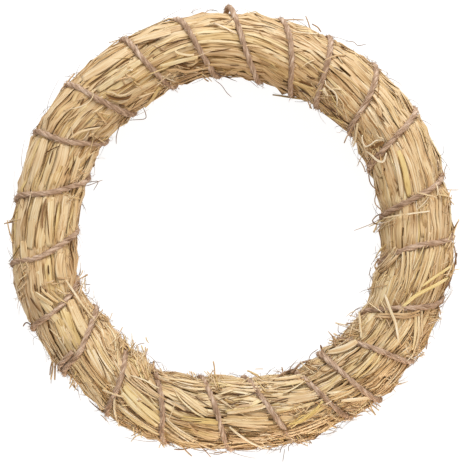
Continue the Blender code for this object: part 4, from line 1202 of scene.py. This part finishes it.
# %% [markdown]
# ## Handfuls that cross the others
# A few handfuls lie askew over the rest. Writing each of their stalks down would be long, so a row gives
# only where a handful starts and ends, how many stalks it has and how wide it is at both ends, and chance
# does the rest.

# %% Handfuls that cross the others
# From: degrees and radius; to: degrees and radius; how many; spread at both ends; width; tone; tint. In mm.
HANDFUL_DIVE = -0.6  # the lift of both ends, in mm
HANDFUL_LIFT = 0.7  # and in between
HANDFULS = [
    (219, 115, 231, 121, 5, 5, 6, 2.6, 0.7, 0.1),
    (219.5, 128.5, 232, 133, 5, 6, 5, 2.4, 0.62, 0),
    (218.5, 135.5, 228, 138, 4, 2.5, 3, 2, 0.78, 0.1),
    (236, 126, 248.5, 134.5, 6, 7.5, 8.5, 3.2, 0.76, 0.3),
    (237, 138.5, 250, 143.5, 4, 3, 3, 2.6, 0.78, -0.1),
    (235.5, 118, 247.5, 121, 5, 5, 4, 1.6, 0.66, -0.1),
    (235, 104.5, 240.5, 112.5, 7, 4, 5, 1.4, 0.68, -0.1),
    (251, 112.5, 262.5, 122.5, 5, 3, 8, 2.8, 0.78, 0.1),
    (252, 133.5, 261.5, 143.5, 5, 3, 5, 1.8, 0.8, 0),
    (251, 138.5, 258, 145, 5, 2.5, 3, 1.4, 0.75, -0.1),
    (255, 128.5, 266.5, 127.5, 4, 3, 4, 2.6, 0.66, 0.5),
    (250.5, 107.5, 262, 104.5, 6, 6, 5, 2.6, 0.74, 0),
    (268.5, 120.5, 280, 116, 5, 2.5, 5, 3, 0.74, 0.4),
    (268, 125.5, 281, 130, 6, 5, 7, 2.8, 0.72, 0),
    (266.5, 103.5, 282, 107, 5, 5, 5, 3.2, 0.77, 0),
    (269, 139, 280, 141.5, 4, 3, 5, 2.2, 0.6, -0.3),
    (286.5, 135.4, 298.5, 130.5, 4, 3, 4, 1.8, 0.7, 0.5),
    (285.5, 117, 298, 123, 6, 6, 6, 2.6, 0.76, 0),
    (286, 141, 299, 141.5, 5, 5, 4, 2.2, 0.68, -0.1),
    (285, 105.5, 297, 110, 5, 5, 5, 2.8, 0.74, 0),
    (301, 128, 307.5, 133, 5, 6, 4, 2.4, 0.7, 0.2),
    (311, 127.5, 319.5, 127, 5, 5, 5, 2.6, 0.72, 0.2),
    (328, 146.5, 336.5, 137.5, 5, 3, 4, 1.8, 0.76, 0),
    (322.5, 132, 334, 134, 5, 6, 6, 2.6, 0.7, 0.1),
    (341, 121, 354, 118, 5, 6, 6, 2.8, 0.7, 0.1),
    (342, 130, 354.5, 134, 5, 6, 6, 2.6, 0.74, 0.1),
    (344.5, 102.5, 352, 111.5, 6, 3, 6, 1.8, 0.68, -0.2),
]


def from_handfuls(handfuls, seed):
    """Spreads each handful's stalks evenly between its two ends, with a little chance in each, as a bow of
    four points that dives under the others at both ends."""
    dice = np.random.default_rng(seed)
    stalks = []
    for start, start_radius, end, end_radius, count, start_spread, end_spread, width, tone, tint in handfuls:
        for share in (np.arange(count) + 0.5) / count - 0.5:
            from_radius = start_radius + share * start_spread + dice.normal(0, 0.3)
            to_radius = end_radius + share * end_spread + dice.normal(0, 0.3)
            from_degrees, to_degrees = start + dice.normal(0, 0.7), end + dice.normal(0, 0.7)
            bow = dice.normal(0, 0.5)
            points = [(from_degrees, from_radius, HANDFUL_DIVE)]
            for back, on in ((0.7, 0.3), (0.3, 0.7)):
                radius = from_radius * back + to_radius * on + bow
                points.append((from_degrees * back + to_degrees * on, radius, HANDFUL_LIFT))
            points.append((to_degrees, to_radius, HANDFUL_DIVE))
            look = (width * dice.uniform(0.4, 0.8), tone + dice.normal(0, 0.06), tint + dice.normal(0, 0.15))
            stalks.append((*look, points))
    return stalks


place_stalks("straw_handfuls", from_handfuls(HANDFULS, 25), 0.6 * MM, 26, sharp_end=0.75)

# %% [markdown]
# ## Frayed spots
# Where stalks broke, short split ends stand up in tufts, mostly along the inner edge. Each end is a short
# curved path on the upper side that turns a little as it goes and rises off the surface towards its tip. A
# row of the list is one tuft: degrees round the ring, radius and spread in mm, how many ends, and how far
# they lean from the ring's own direction, in degrees. Nearly half of a tuft's ends point the other way.

# %% Tufts of split ends
TUFTS = [
    (8, 129, 3, 7, 40), (8, 146, 4, 7, 10), (31.5, 113, 5, 11, 10), (37, 106, 4, 8, 30),
    (28, 105, 4, 8, 50), (48, 109, 4, 9, 15), (55.5, 112, 6, 18, 0), (59, 105, 4, 8, 30),
    (110, 110, 5, 18, 15), (104.5, 115, 5, 9, 30), (100, 108, 4, 8, 15), (92, 107, 3, 5, 15),
    (116, 109, 4, 7, 15), (122, 117, 5, 8, 50), (139, 114, 4, 8, 30), (146, 109, 5, 11, 30),
    (150, 107, 4, 7, 20), (161, 107, 4, 6, 20), (168, 107, 3, 4, 20), (177.5, 148, 3, 4, 80),
    (190.5, 141, 5, 14, 30), (197, 149, 3, 6, 50), (198.5, 120, 5, 8, -50), (200, 107, 4, 7, 40),
    (209, 107, 4, 7, 30), (216, 104, 4, 9, 30), (217, 144, 4, 8, 50), (224, 147, 4, 8, 50),
    (226, 104, 5, 15, 50), (233, 103, 6, 23, 50), (240, 107, 5, 14, 30), (238, 148, 5, 9, 40),
    (245, 150, 3, 8, 90), (252, 149, 4, 8, 60), (264, 100, 4, 14, 60), (256, 103, 4, 8, 30),
    (274, 104, 5, 9, 20), (282, 103, 5, 12, 30), (280, 140, 6, 11, 40), (289, 147, 5, 14, 50),
    (297, 141, 6, 15, 50), (291, 127, 5, 9, 60), (301, 108, 4, 15, 40), (306, 147, 5, 14, 60),
    (310, 150, 4, 9, 60), (317, 149, 5, 14, 60), (314, 103, 4, 9, 40), (323, 105, 6, 16, 50),
    (328, 140, 6, 11, -30), (333, 116, 6, 14, -50), (326, 150, 4, 9, 60), (342, 107, 5, 9, 30),
    (337, 149, 4, 9, 60), (349, 150, 4, 9, 50), (356, 148, 4, 8, 30), (352, 107, 4, 8, 40),
    (3, 103, 4, 9, 40),
]
TURNED_ROUND = 0.4  # the share of a tuft's ends that point the other way
THICKEST_END = 0.00025  # half the thickness, at most
END_ARCH = 0.1


def short_ends(name, degrees, radius, lean, length, width, lift, tone_mean, seed, stations=6):
    """Short curved stalks on the upper side: the start plus direction * length * t, raised by lift *
    t^1.5."""
    dice = np.random.default_rng(seed)
    count = len(degrees)
    t = np.linspace(0, 1, stations)[None]
    own_length = dice.uniform(*length, (count, 1))
    bend = dice.normal(0, 0.25, (count, 1))
    heading = np.radians(lean)[:, None] + bend * t
    forward = np.cumsum(np.cos(heading), axis=1) / stations * own_length
    outward = np.cumsum(np.sin(heading), axis=1) / stations * own_length
    reached = radius[:, None] + outward - outward.mean(axis=1, keepdims=True)
    turned = degrees[:, None] + np.degrees((forward - forward.mean(axis=1, keepdims=True)) / reached)
    raised = dice.uniform(*lift, (count, 1)) * t ** 1.5 + dice.uniform(-0.0006, 0.0006, (count, 1))
    paths, outwards = over_bundle(turned, reached, raised)
    half_width = dice.uniform(*width, (count, 1)) / 2 * (1 - 0.75 * t ** 2)
    tone = np.minimum(dice.normal(tone_mean, 0.11, (count, 1)), PALEST)
    tint = dice.normal(-0.1, 0.35, (count, 1))
    roll = dice.normal(0, 0.5, (count, 1))
    half_thick = np.minimum(half_width, THICKEST_END)
    return add_stalks(name, paths, outwards, half_width, half_thick, roll, END_ARCH, tone, tint, seed)


tuft_dice = np.random.default_rng(31)
tuft_table = np.repeat(np.array(TUFTS, float), [tuft[3] for tuft in TUFTS], axis=0)
tuft_spread = tuft_dice.normal(0, 0.6, (2, len(tuft_table))) * tuft_table[:, 2]
tuft_radius = (tuft_table[:, 1] + tuft_spread[0]) * MM
tuft_degrees = tuft_table[:, 0] + np.degrees(tuft_spread[1] * MM / tuft_radius)
tuft_lean = tuft_table[:, 4] + tuft_dice.normal(0, 24, len(tuft_table))
tuft_lean = tuft_lean + 180 * (tuft_dice.random(len(tuft_table)) < TURNED_ROUND)
print("ends in tufts:", len(tuft_table))
short_ends("straw_tufts", tuft_degrees, tuft_radius, tuft_lean, (5 * MM, 15 * MM), (0.4 * MM, 1.4 * MM),
           (0.0, 1.9 * MM), 0.69, 32)

# %% [markdown]
# ## Loose ends
# Single ends stick up all over the wreath as well, more of them where it is untidy. The list says how dense
# they are at some angles round the ring. To draw angles of that density, we add it up round the ring and
# look up evenly spread random numbers in the sum.

# %% Loose ends all over
END_COUNT = 240
END_RADII = (103, 150)  # mm
ENDS_WHERE = [(0, 0.8), (90, 0.7), (125, 0.8), (150, 0.25), (195, 0.3), (215, 1.5), (290, 2.0), (330, 1.2)]


def spread_round(dice, count, where):
    """Random degrees round the ring, as dense as a list of (degrees, density) says: the running sum's
    inverse."""
    fine = np.linspace(0, 360, 721)
    share = np.cumsum(np.interp(fine, *zip(*where), period=360))
    return np.interp(dice.random(count), share / share[-1], fine)


end_dice = np.random.default_rng(41)
end_degrees = spread_round(end_dice, END_COUNT, ENDS_WHERE)
end_radius = end_dice.uniform(*END_RADII, END_COUNT) * MM
end_lean = end_dice.normal(6, 16, END_COUNT) + 180 * (end_dice.random(END_COUNT) < 0.5)
short_ends("straw_loose_ends", end_degrees, end_radius, end_lean, (7 * MM, 22 * MM), (0.5 * MM, 1.8 * MM),
           (0.0, 1.2 * MM), 0.66, 42)

# %% [markdown]
# ## Fine fibres round the outline
# Fine fibres, a few tenths of a millimetre thick, stick out beyond the outline on both sides and soften it.
# They are short curved paths that leave the surface and droop. A fibre has a three-cornered outline to keep
# it light.

# %% Fine fibres round the outline
FIBRES = 700
FIBRE_SIDES = 3
FIBRE_STATIONS = 8
FIBRE_DROOP = 0.004  # at most
FIBRE_TINT = -0.5
AT_INNER_SIDE = 0.45  # the share of the fibres that stick out into the open centre
RAGGED = [(0, 0.6), (90, 0.25), (180, 0.5), (225, 1.0), (290, 1.6), (330, 1.0)]  # degrees, density


def fine_fibres(name, count, seed, length, thick, look_tone):
    """Fibres that leave the bundle's side: start + (along, out, up) * length * t, and a droop that grows as
    t^2."""
    dice = np.random.default_rng(seed)
    ring_angle = np.radians(spread_round(dice, count, RAGGED))[:, None]
    inner = (dice.random(count) < AT_INNER_SIDE)[:, None]
    around = np.where(inner, math.pi, 0) + np.where(inner, -1, 1) * dice.uniform(-0.5, 0.9, (count, 1))
    reach = cut_flat(girth(ring_angle) - 0.0012, around, middle_height(ring_angle) - 0.001)
    t = np.linspace(0, 1, FIBRE_STATIONS)[None]
    own_length = dice.uniform(*length, (count, 1)) * dice.uniform(0.5, 1.0, (count, 1))
    start = in_space(ring_angle, around, reach)
    out = away_from_middle(ring_angle, around)
    along = np.stack([-np.sin(ring_angle), np.cos(ring_angle), 0 * ring_angle], axis=-1)
    way = dice.choice([-1.0, 1.0], (count, 1)) * dice.uniform(0.3, 1.4, (count, 1))
    curl = dice.normal(0, 0.9, (count, 1))
    steps = out * (t * (1 - 0.35 * t))[..., None] + along * (way * t + curl * t ** 2)[..., None]
    paths = start + steps * own_length[..., None]
    paths[..., 2] -= dice.uniform(0, FIBRE_DROOP, (count, 1)) * t ** 2
    angle = np.linspace(0, 2 * math.pi, FIBRE_SIDES, endpoint=False)
    half = dice.uniform(*thick, (count, 1)) / 2 * (1 - 0.6 * t)
    tone = dice.normal(look_tone, 0.14, (count, 1))
    outwards = np.broadcast_to(out, paths.shape)
    return add_stalks(name, paths, outwards, half, half, 0.0, 0.0, tone, FIBRE_TINT, seed, np.cos(angle),
                      np.sin(angle), creased=())


fine_fibres("straw_fibres", FIBRES, 51, (3 * MM, 11 * MM), (0.26 * MM, 0.5 * MM), 0.3)

# %% [markdown]
# ## The twine
# Jute twine is three strands twisted round each other. Each strand is a bundle of bast fibres, so the
# strands are soft cords and the twine has a rope's look in small. A strand's middle runs round the twine's
# own path: side * cos(turn) + out * sin(turn), times a small offset, while the twine goes on by one pitch
# for each full turn. The twist here leans like the middle of an S.
#
# First comes the twine's own path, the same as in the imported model: it winds along its groove, stands off
# the bundle where one turn is slack, and its two ends are tucked in side by side.

# %% The twine's path
SLACK_TURN = 6.5  # where it is slack, in turns
SLACK_LENGTH = 0.3  # in turns
SLACK_HEIGHT = 0.004
ENDS_MEET = (14.3, 14.5)  # the two ends lie side by side between these places, in turns
ENDS_BLEND = 0.1  # over this length the ends move aside, in turns
GROOVE_SLOPE = math.radians(32)
END_OFFSET = TWINE_RADIUS + CLEARANCE
STATIONS_OF_TWINE = 125  # along each turn


def smooth_step(x):
    """From 0 to 1 as x goes from 0 to 1, level at both ends."""
    x = np.clip(x, 0, 1)
    return x * x * (3 - 2 * x)


def hump(x):
    """From 0 up to 1 at x = 0 and back, over the length from -1/2 to 1/2: half of 1 + cos."""
    return 0.5 + 0.5 * np.cos(2 * math.pi * np.clip(x, -0.5, 0.5))


def twine_path():
    """The middle of the twine from end to end, with the direction out of the bundle at each station: the
    groove's bottom plus the slack loop, and both ends shifted aside and lifted onto the groove's slopes."""
    start, stop = ENDS_MEET[0], ENDS_MEET[1] + TURNS
    turn = np.linspace(start, stop, round((stop - start) * STATIONS_OF_TWINE) + 1)
    around = math.pi * (1 - 2 * turn)
    angle = twine_angle(turn)
    reach = cut_flat(girth(angle) + TWINE_STANDS_OUT - TWINE_RADIUS - dent(angle, around), around,
                     middle_height(angle) - TWINE_RADIUS - CLEARANCE)
    first_end = smooth_step((ENDS_MEET[1] + ENDS_BLEND - turn) / ENDS_BLEND)
    last_end = smooth_step((turn - (ENDS_MEET[0] + TURNS - ENDS_BLEND)) / ENDS_BLEND)
    slack = hump((turn - SLACK_TURN - TURNS) / SLACK_LENGTH)
    reach = reach + SLACK_HEIGHT * slack + END_OFFSET * math.tan(GROOVE_SLOPE) * (first_end + last_end)
    aside = END_OFFSET * (last_end - first_end) / (RING_RADIUS + reach * np.cos(around))
    return turn, in_space(angle + aside, around, reach), away_from_middle(angle, around)


twine_turn, twine_middle, twine_outwards = twine_path()
twine_steps = np.linalg.norm(np.diff(twine_middle, axis=0), axis=-1)
twine_run = np.concatenate([[0.0], np.cumsum(twine_steps)])
print("length of twine, m:", round(float(twine_run[-1]), 2))

# %% [markdown]
# ## The jute material
# Jute is a dull brown-grey bast fibre. It has no gloss to speak of, and the fibres lie in fine lines along
# each strand. The twist presses them tight in the valley between two strands, and there the material paints
# shade.

# %% The jute material
JUTE_FIBRE = 0.0003  # between fibres
JUTE_STREAK = 0.004  # the length of a streak
# Painted shade in the strands' valleys; the fuzz's own random tone goes through the same attribute
VALLEY_SHADE_AND_FUZZ_TONE = 0.17  # how much darker the valleys are


def jute_material():
    """Twisted jute: fine lines along the strand choose the colour and bump the surface."""
    look, tree, shader = new_look("twisted_jute")
    grain = add_node(tree, "ShaderNodeAttribute", {"attribute_name": "grain"}).outputs["Vector"]
    valley = add_node(tree, "ShaderNodeAttribute", {"attribute_name": "edge"}).outputs["Fac"]
    place = add_node(tree, "ShaderNodeVectorMath", {"operation": "MULTIPLY"}, n0=grain,
                     n1=(1 / JUTE_FIBRE, 1 / JUTE_STREAK, 1 / JUTE_FIBRE)).outputs[0]
    fibre = add_node(tree, "ShaderNodeTexNoise", Vector=place, Scale=1.0, Detail=2.0, Roughness=0.65)
    patch = add_node(tree, "ShaderNodeTexNoise", Vector=grain, Scale=90.0, Detail=1.0).outputs["Fac"]
    lines = add_node(tree, "ShaderNodeMapRange", Value=fibre.outputs["Fac"], From_Min=0.3, From_Max=0.7,
                     To_Min=0.2, To_Max=0.85).outputs[0]
    shift = add_node(tree, "ShaderNodeMapRange", Value=patch, From_Min=0.3, From_Max=0.7, To_Min=-0.24,
                     To_Max=0.24).outputs[0]
    lighter = add_node(tree, "ShaderNodeMath", {"operation": "ADD"}, n0=lines, n1=shift).outputs[0]
    # Painted shade in the valleys between strands, and on the fuzz each fibre's own tone
    shade = add_node(tree, "ShaderNodeMath", {"operation": "MULTIPLY"}, n0=valley, n1=-VALLEY_SHADE_AND_FUZZ_TONE).outputs[0]
    lightness = add_node(tree, "ShaderNodeMath", {"operation": "ADD"}, n0=lighter, n1=shade).outputs[0]
    colour = add_node(tree, "ShaderNodeValToRGB", Fac=lightness)
    set_stops(colour, [(0.0, "#694d37"), (0.35, "#987960"), (0.6, "#b4967d"), (1.0, "#dcc6b1")])
    bump = add_node(tree, "ShaderNodeBump", Strength=0.6, Distance=0.0003,
                    Height=fibre.outputs["Fac"]).outputs["Normal"]
    tree.links.new(colour.outputs["Color"], shader.inputs["Base Color"])
    tree.links.new(bump, shader.inputs["Normal"])
    shader.inputs["Roughness"].default_value = 0.9
    shader.inputs["Specular IOR Level"].default_value = 0.3
    return look


jute = jute_material()

# %% [markdown]
# ## The three strands
# Each strand is a round tube whose middle circles round the twine's path. Pulled tight, the twine lies a
# little flatter than round, and in a few spots its strands have come loose and spread. The strand's grain
# leans against the twist, as the yarns in a real strand do.

# %% The three strands
STRANDS = 3
STRAND_CORNERS = 8
STRAND_RADIUS = 0.00122
STRAND_OFFSET = 0.00062
PITCH = 0.024
FLATTENED = 1.25  # how much wider than round the pulled twine lies
UNEVEN = 0.05  # the share by which a hand-spun strand is thicker or thinner in places
UNEVEN_LENGTHS = (0.0031, 0.0077)
YARN_LEAN = 2.5  # how far the yarns turn round their strand in one pitch, in radians
STRANDS_APART = 0.37  # in the grain, so that no two strands look the same
# Place in turns, length in turns, and how much wider the strands spread
LOOSE_SPOTS = [
    (2.08, 0.25, 1.35), (6.1, 0.2, 1.3), (7.08, 0.25, 1.3), (9.12, 0.3, 1.6), (12.1, 0.25, 1.35),
    (20.1, 0.25, 1.4),
]


def frame_along(path, outwards):
    """Direction along a path, sideways and out, at each station."""
    along = unit(np.gradient(path, axis=0))
    side = unit(np.cross(along, outwards))
    return along, side, np.cross(side, along)


def twine_strands():
    """Strand middles at path + offset * (side * cos + out * sin), each carrying a round outline."""
    along, side, out = frame_along(twine_middle, twine_outwards)
    spread = np.full(len(twine_turn), FLATTENED)
    for place, length, wider in LOOSE_SPOTS:
        nearest = (twine_turn - place + TURNS / 2) % TURNS - TURNS / 2
        spread += (wider - 1) * hump(nearest / length)
    short, long = UNEVEN_LENGTHS
    uneven = 1 + UNEVEN * np.sin(twine_run / short) + UNEVEN * np.sin(twine_run / long + 1)
    twist = -twine_run / PITCH * 2 * math.pi
    paths, corner_out = [], []
    for strand in range(STRANDS):
        turn = (twist + strand * 2 * math.pi / STRANDS)[:, None]
        direction = side * np.cos(turn) + out * np.sin(turn)
        flattened = side * np.cos(turn) * spread[:, None] + out * np.sin(turn) / np.sqrt(spread)[:, None]
        paths.append(twine_middle + STRAND_OFFSET * flattened)
        corner_out.append(direction)
    paths, corner_out = np.stack(paths), np.stack(corner_out)
    angle = np.linspace(0, 2 * math.pi, STRAND_CORNERS, endpoint=False)
    shape = paths.shape[:2]
    radius = np.broadcast_to(STRAND_RADIUS * uneven, shape)
    zero = np.zeros(shape)
    points = carry_outline(paths, corner_out, radius, radius, zero, zero, np.cos(angle), np.sin(angle))
    run = np.broadcast_to(twine_run[None, :, None], shape + (STRAND_CORNERS,))
    lean = angle - run / PITCH * YARN_LEAN
    strand_number = np.arange(STRANDS)[:, None, None]
    grain_x, grain_z = STRAND_RADIUS * np.cos(lean), STRAND_RADIUS * np.sin(lean)
    grain = np.stack([grain_x + 0 * run, run + strand_number * STRANDS_APART, grain_z + 0 * run], axis=-1)
    # Painted shade: darker on the side that faces into the valleys between strands
    valley = np.broadcast_to(0.5 - 0.5 * np.sin(angle), shape + (STRAND_CORNERS,))
    faces = tube_faces(STRANDS, shape[1], STRAND_CORNERS)
    values = {"grain": grain.reshape(-1, 3), "edge": valley.ravel()}
    return add_piece("jute_strands", points, faces, jute, "jute_twine", values)


twine_strands()

# %% [markdown]
# ## Fuzz on the twine
# Jute is spun from short fibres, so their ends stand out of the twine all along it and soften its outline.
# Each is a short thin path that leaves the twine's surface: start + (along + out * t) * length * t. They
# are drawn about twice as thick as real jute fibres, because thinner ones would not show.

# %% Fibres that stand out of the twine
FUZZ_COUNT = 4200
FUZZ_STATIONS = 4
FUZZ_SIDES = 3
FUZZ_LENGTHS = (0.0015, 0.0042)
FUZZ_HALF_THICK = (0.00006, 0.00013)
FUZZ_START_ASIDE = 0.0017  # where a fibre leaves the twine, from its middle: sideways
FUZZ_START_OUT = 0.0013  # and outwards
FUZZ_FLOOR_GAP = 0.0004


def twine_fuzz():
    """Fibre starts at path + radius * (side * cos + out * sin), then along the twine and away from its
    middle."""
    dice = np.random.default_rng(61)
    along, side, out = frame_along(twine_middle, twine_outwards)
    station = dice.integers(4, len(twine_turn) - 4, FUZZ_COUNT)
    angle = dice.uniform(-0.35, math.pi + 0.35, (FUZZ_COUNT, 1))
    away = side[station] * np.cos(angle) + out[station] * np.sin(angle)
    start_aside = side[station] * np.cos(angle) * FUZZ_START_ASIDE
    start_out = out[station] * np.sin(angle) * FUZZ_START_OUT
    start = twine_middle[station] + start_aside + start_out
    way = dice.choice([-1.0, 1.0], (FUZZ_COUNT, 1, 1))
    length = dice.uniform(*FUZZ_LENGTHS, (FUZZ_COUNT, 1, 1))
    lift = dice.uniform(0.1, 0.75, (FUZZ_COUNT, 1, 1))
    lean = dice.normal(0, 0.35, (FUZZ_COUNT, 1, 1))
    t = np.linspace(0, 1, FUZZ_STATIONS)[None, :, None]
    aside = np.cross(along[station], away)[:, None]
    steps = along[station][:, None] * way * t + away[:, None] * lift * t ** 1.5 + aside * lean * t
    paths = start[:, None] + length * steps
    paths[..., 2] = np.maximum(paths[..., 2], FUZZ_FLOOR_GAP)
    half = np.broadcast_to(dice.uniform(*FUZZ_HALF_THICK, (FUZZ_COUNT, 1)), paths.shape[:2])
    corner = np.linspace(0, 2 * math.pi, FUZZ_SIDES, endpoint=False)
    zero = np.zeros(paths.shape[:2])
    outwards = np.broadcast_to(away[:, None], paths.shape)
    points = carry_outline(paths, outwards, half, half, zero, zero, np.cos(corner), np.sin(corner))
    own = dice.uniform(0, 0.3, (FUZZ_COUNT, 1, 1))
    everywhere = own + zero[..., None] + 0 * corner
    grain = np.stack(np.broadcast_arrays(everywhere, own * 3 + 0 * zero[..., None], own), axis=-1)
    own_dark = np.repeat(dice.uniform(-2.2, 1.6, FUZZ_COUNT), FUZZ_STATIONS * FUZZ_SIDES)
    values = {"grain": grain.reshape(-1, 3), "edge": own_dark}
    faces = tube_faces(FUZZ_COUNT, FUZZ_STATIONS, FUZZ_SIDES)
    return add_piece("jute_fuzz", points, faces, jute, "jute_twine", values)


twine_fuzz()

# %% [markdown]
# ## Floor and light
# The wreath lies on a plain white table in soft daylight. The table glows faintly, as a photographer's
# light table does, so that no shadow cuts the outline. Five square lamps make the light: a broad key that
# stands beyond the picture's upper edge, a weak one straight above, and three small low ones in front, on
# the left and on the right that only lighten the shade. A dim white world fills in what is left.

# %% Floor and light
FLOOR_SIDE = 3.0
FLOOR_DEPTH = 0.0003  # below z = 0
FLOOR_GLOW = 0.92
WORLD_STRENGTH = 0.315
# Name, place, side, watts and colour
LAMPS = [
    ("key", (0.3, 1.5, 1.2), 1.1, 42, "#f5faff"),
    ("above", (0.0, 0.0, 2.0), 1.2, 7, "#fff8ee"),
    ("front", (0.12, -0.62, 0.12), 0.18, 2.6, "#fff0de"),
    ("left", (-0.9, 0.1, 0.5), 0.5, 1.9, "#fff9f0"),
    ("right", (0.9, -0.15, 0.5), 0.5, 2.2, "#fff0dc"),
]


def floor_material():
    """Painted board, white and matt, lit from behind."""
    look, _, shader = new_look("white_light_table")
    shader.inputs["Base Color"].default_value = linear("#707070")
    shader.inputs["Roughness"].default_value = 0.9
    shader.inputs["Emission Color"].default_value = linear("#ffffff")
    shader.inputs["Emission Strength"].default_value = FLOOR_GLOW
    return look


def add_floor():
    """A square just under z = 0."""
    half = FLOOR_SIDE / 2
    mesh = bpy.data.meshes.new("floor")
    corners = [(-half, -half), (half, -half), (half, half), (-half, half)]
    mesh.from_pydata([(x, y, -FLOOR_DEPTH) for x, y in corners], [], [(0, 1, 2, 3)])
    mesh.materials.append(floor_material())
    floor = into_scene("floor", mesh)


def add_light(name, place, side, watts, colour):
    """A square area light that looks at the wreath's middle: tilted by atan2(level distance, drop), then
    turned to the middle's side."""
    data = bpy.data.lights.new(name, "AREA")
    data.shape = "SQUARE"
    data.size = side
    data.energy = watts
    data.color = linear(colour)[:3]
    light = into_scene(name, data)
    light.location = place
    light.visible_camera = False
    to_middle = np.array([0, 0, MIDDLE]) - np.array(place)
    tilt = math.atan2(math.hypot(to_middle[0], to_middle[1]), -to_middle[2])
    turn = math.atan2(to_middle[1], to_middle[0]) - math.pi / 2
    light.rotation_euler = (tilt, 0, turn)


add_floor()
for lamp in LAMPS:
    add_light(*lamp)
print("lamps:", [lamp[0] for lamp in LAMPS])

world = bpy.data.worlds.new("studio")
world.use_nodes = True
world.node_tree.nodes["Background"].inputs["Color"].default_value = linear("#ffffff")
world.node_tree.nodes["Background"].inputs["Strength"].default_value = WORLD_STRENGTH
bpy.context.scene.world = world
bpy.context.scene.view_settings.view_transform = "Standard"
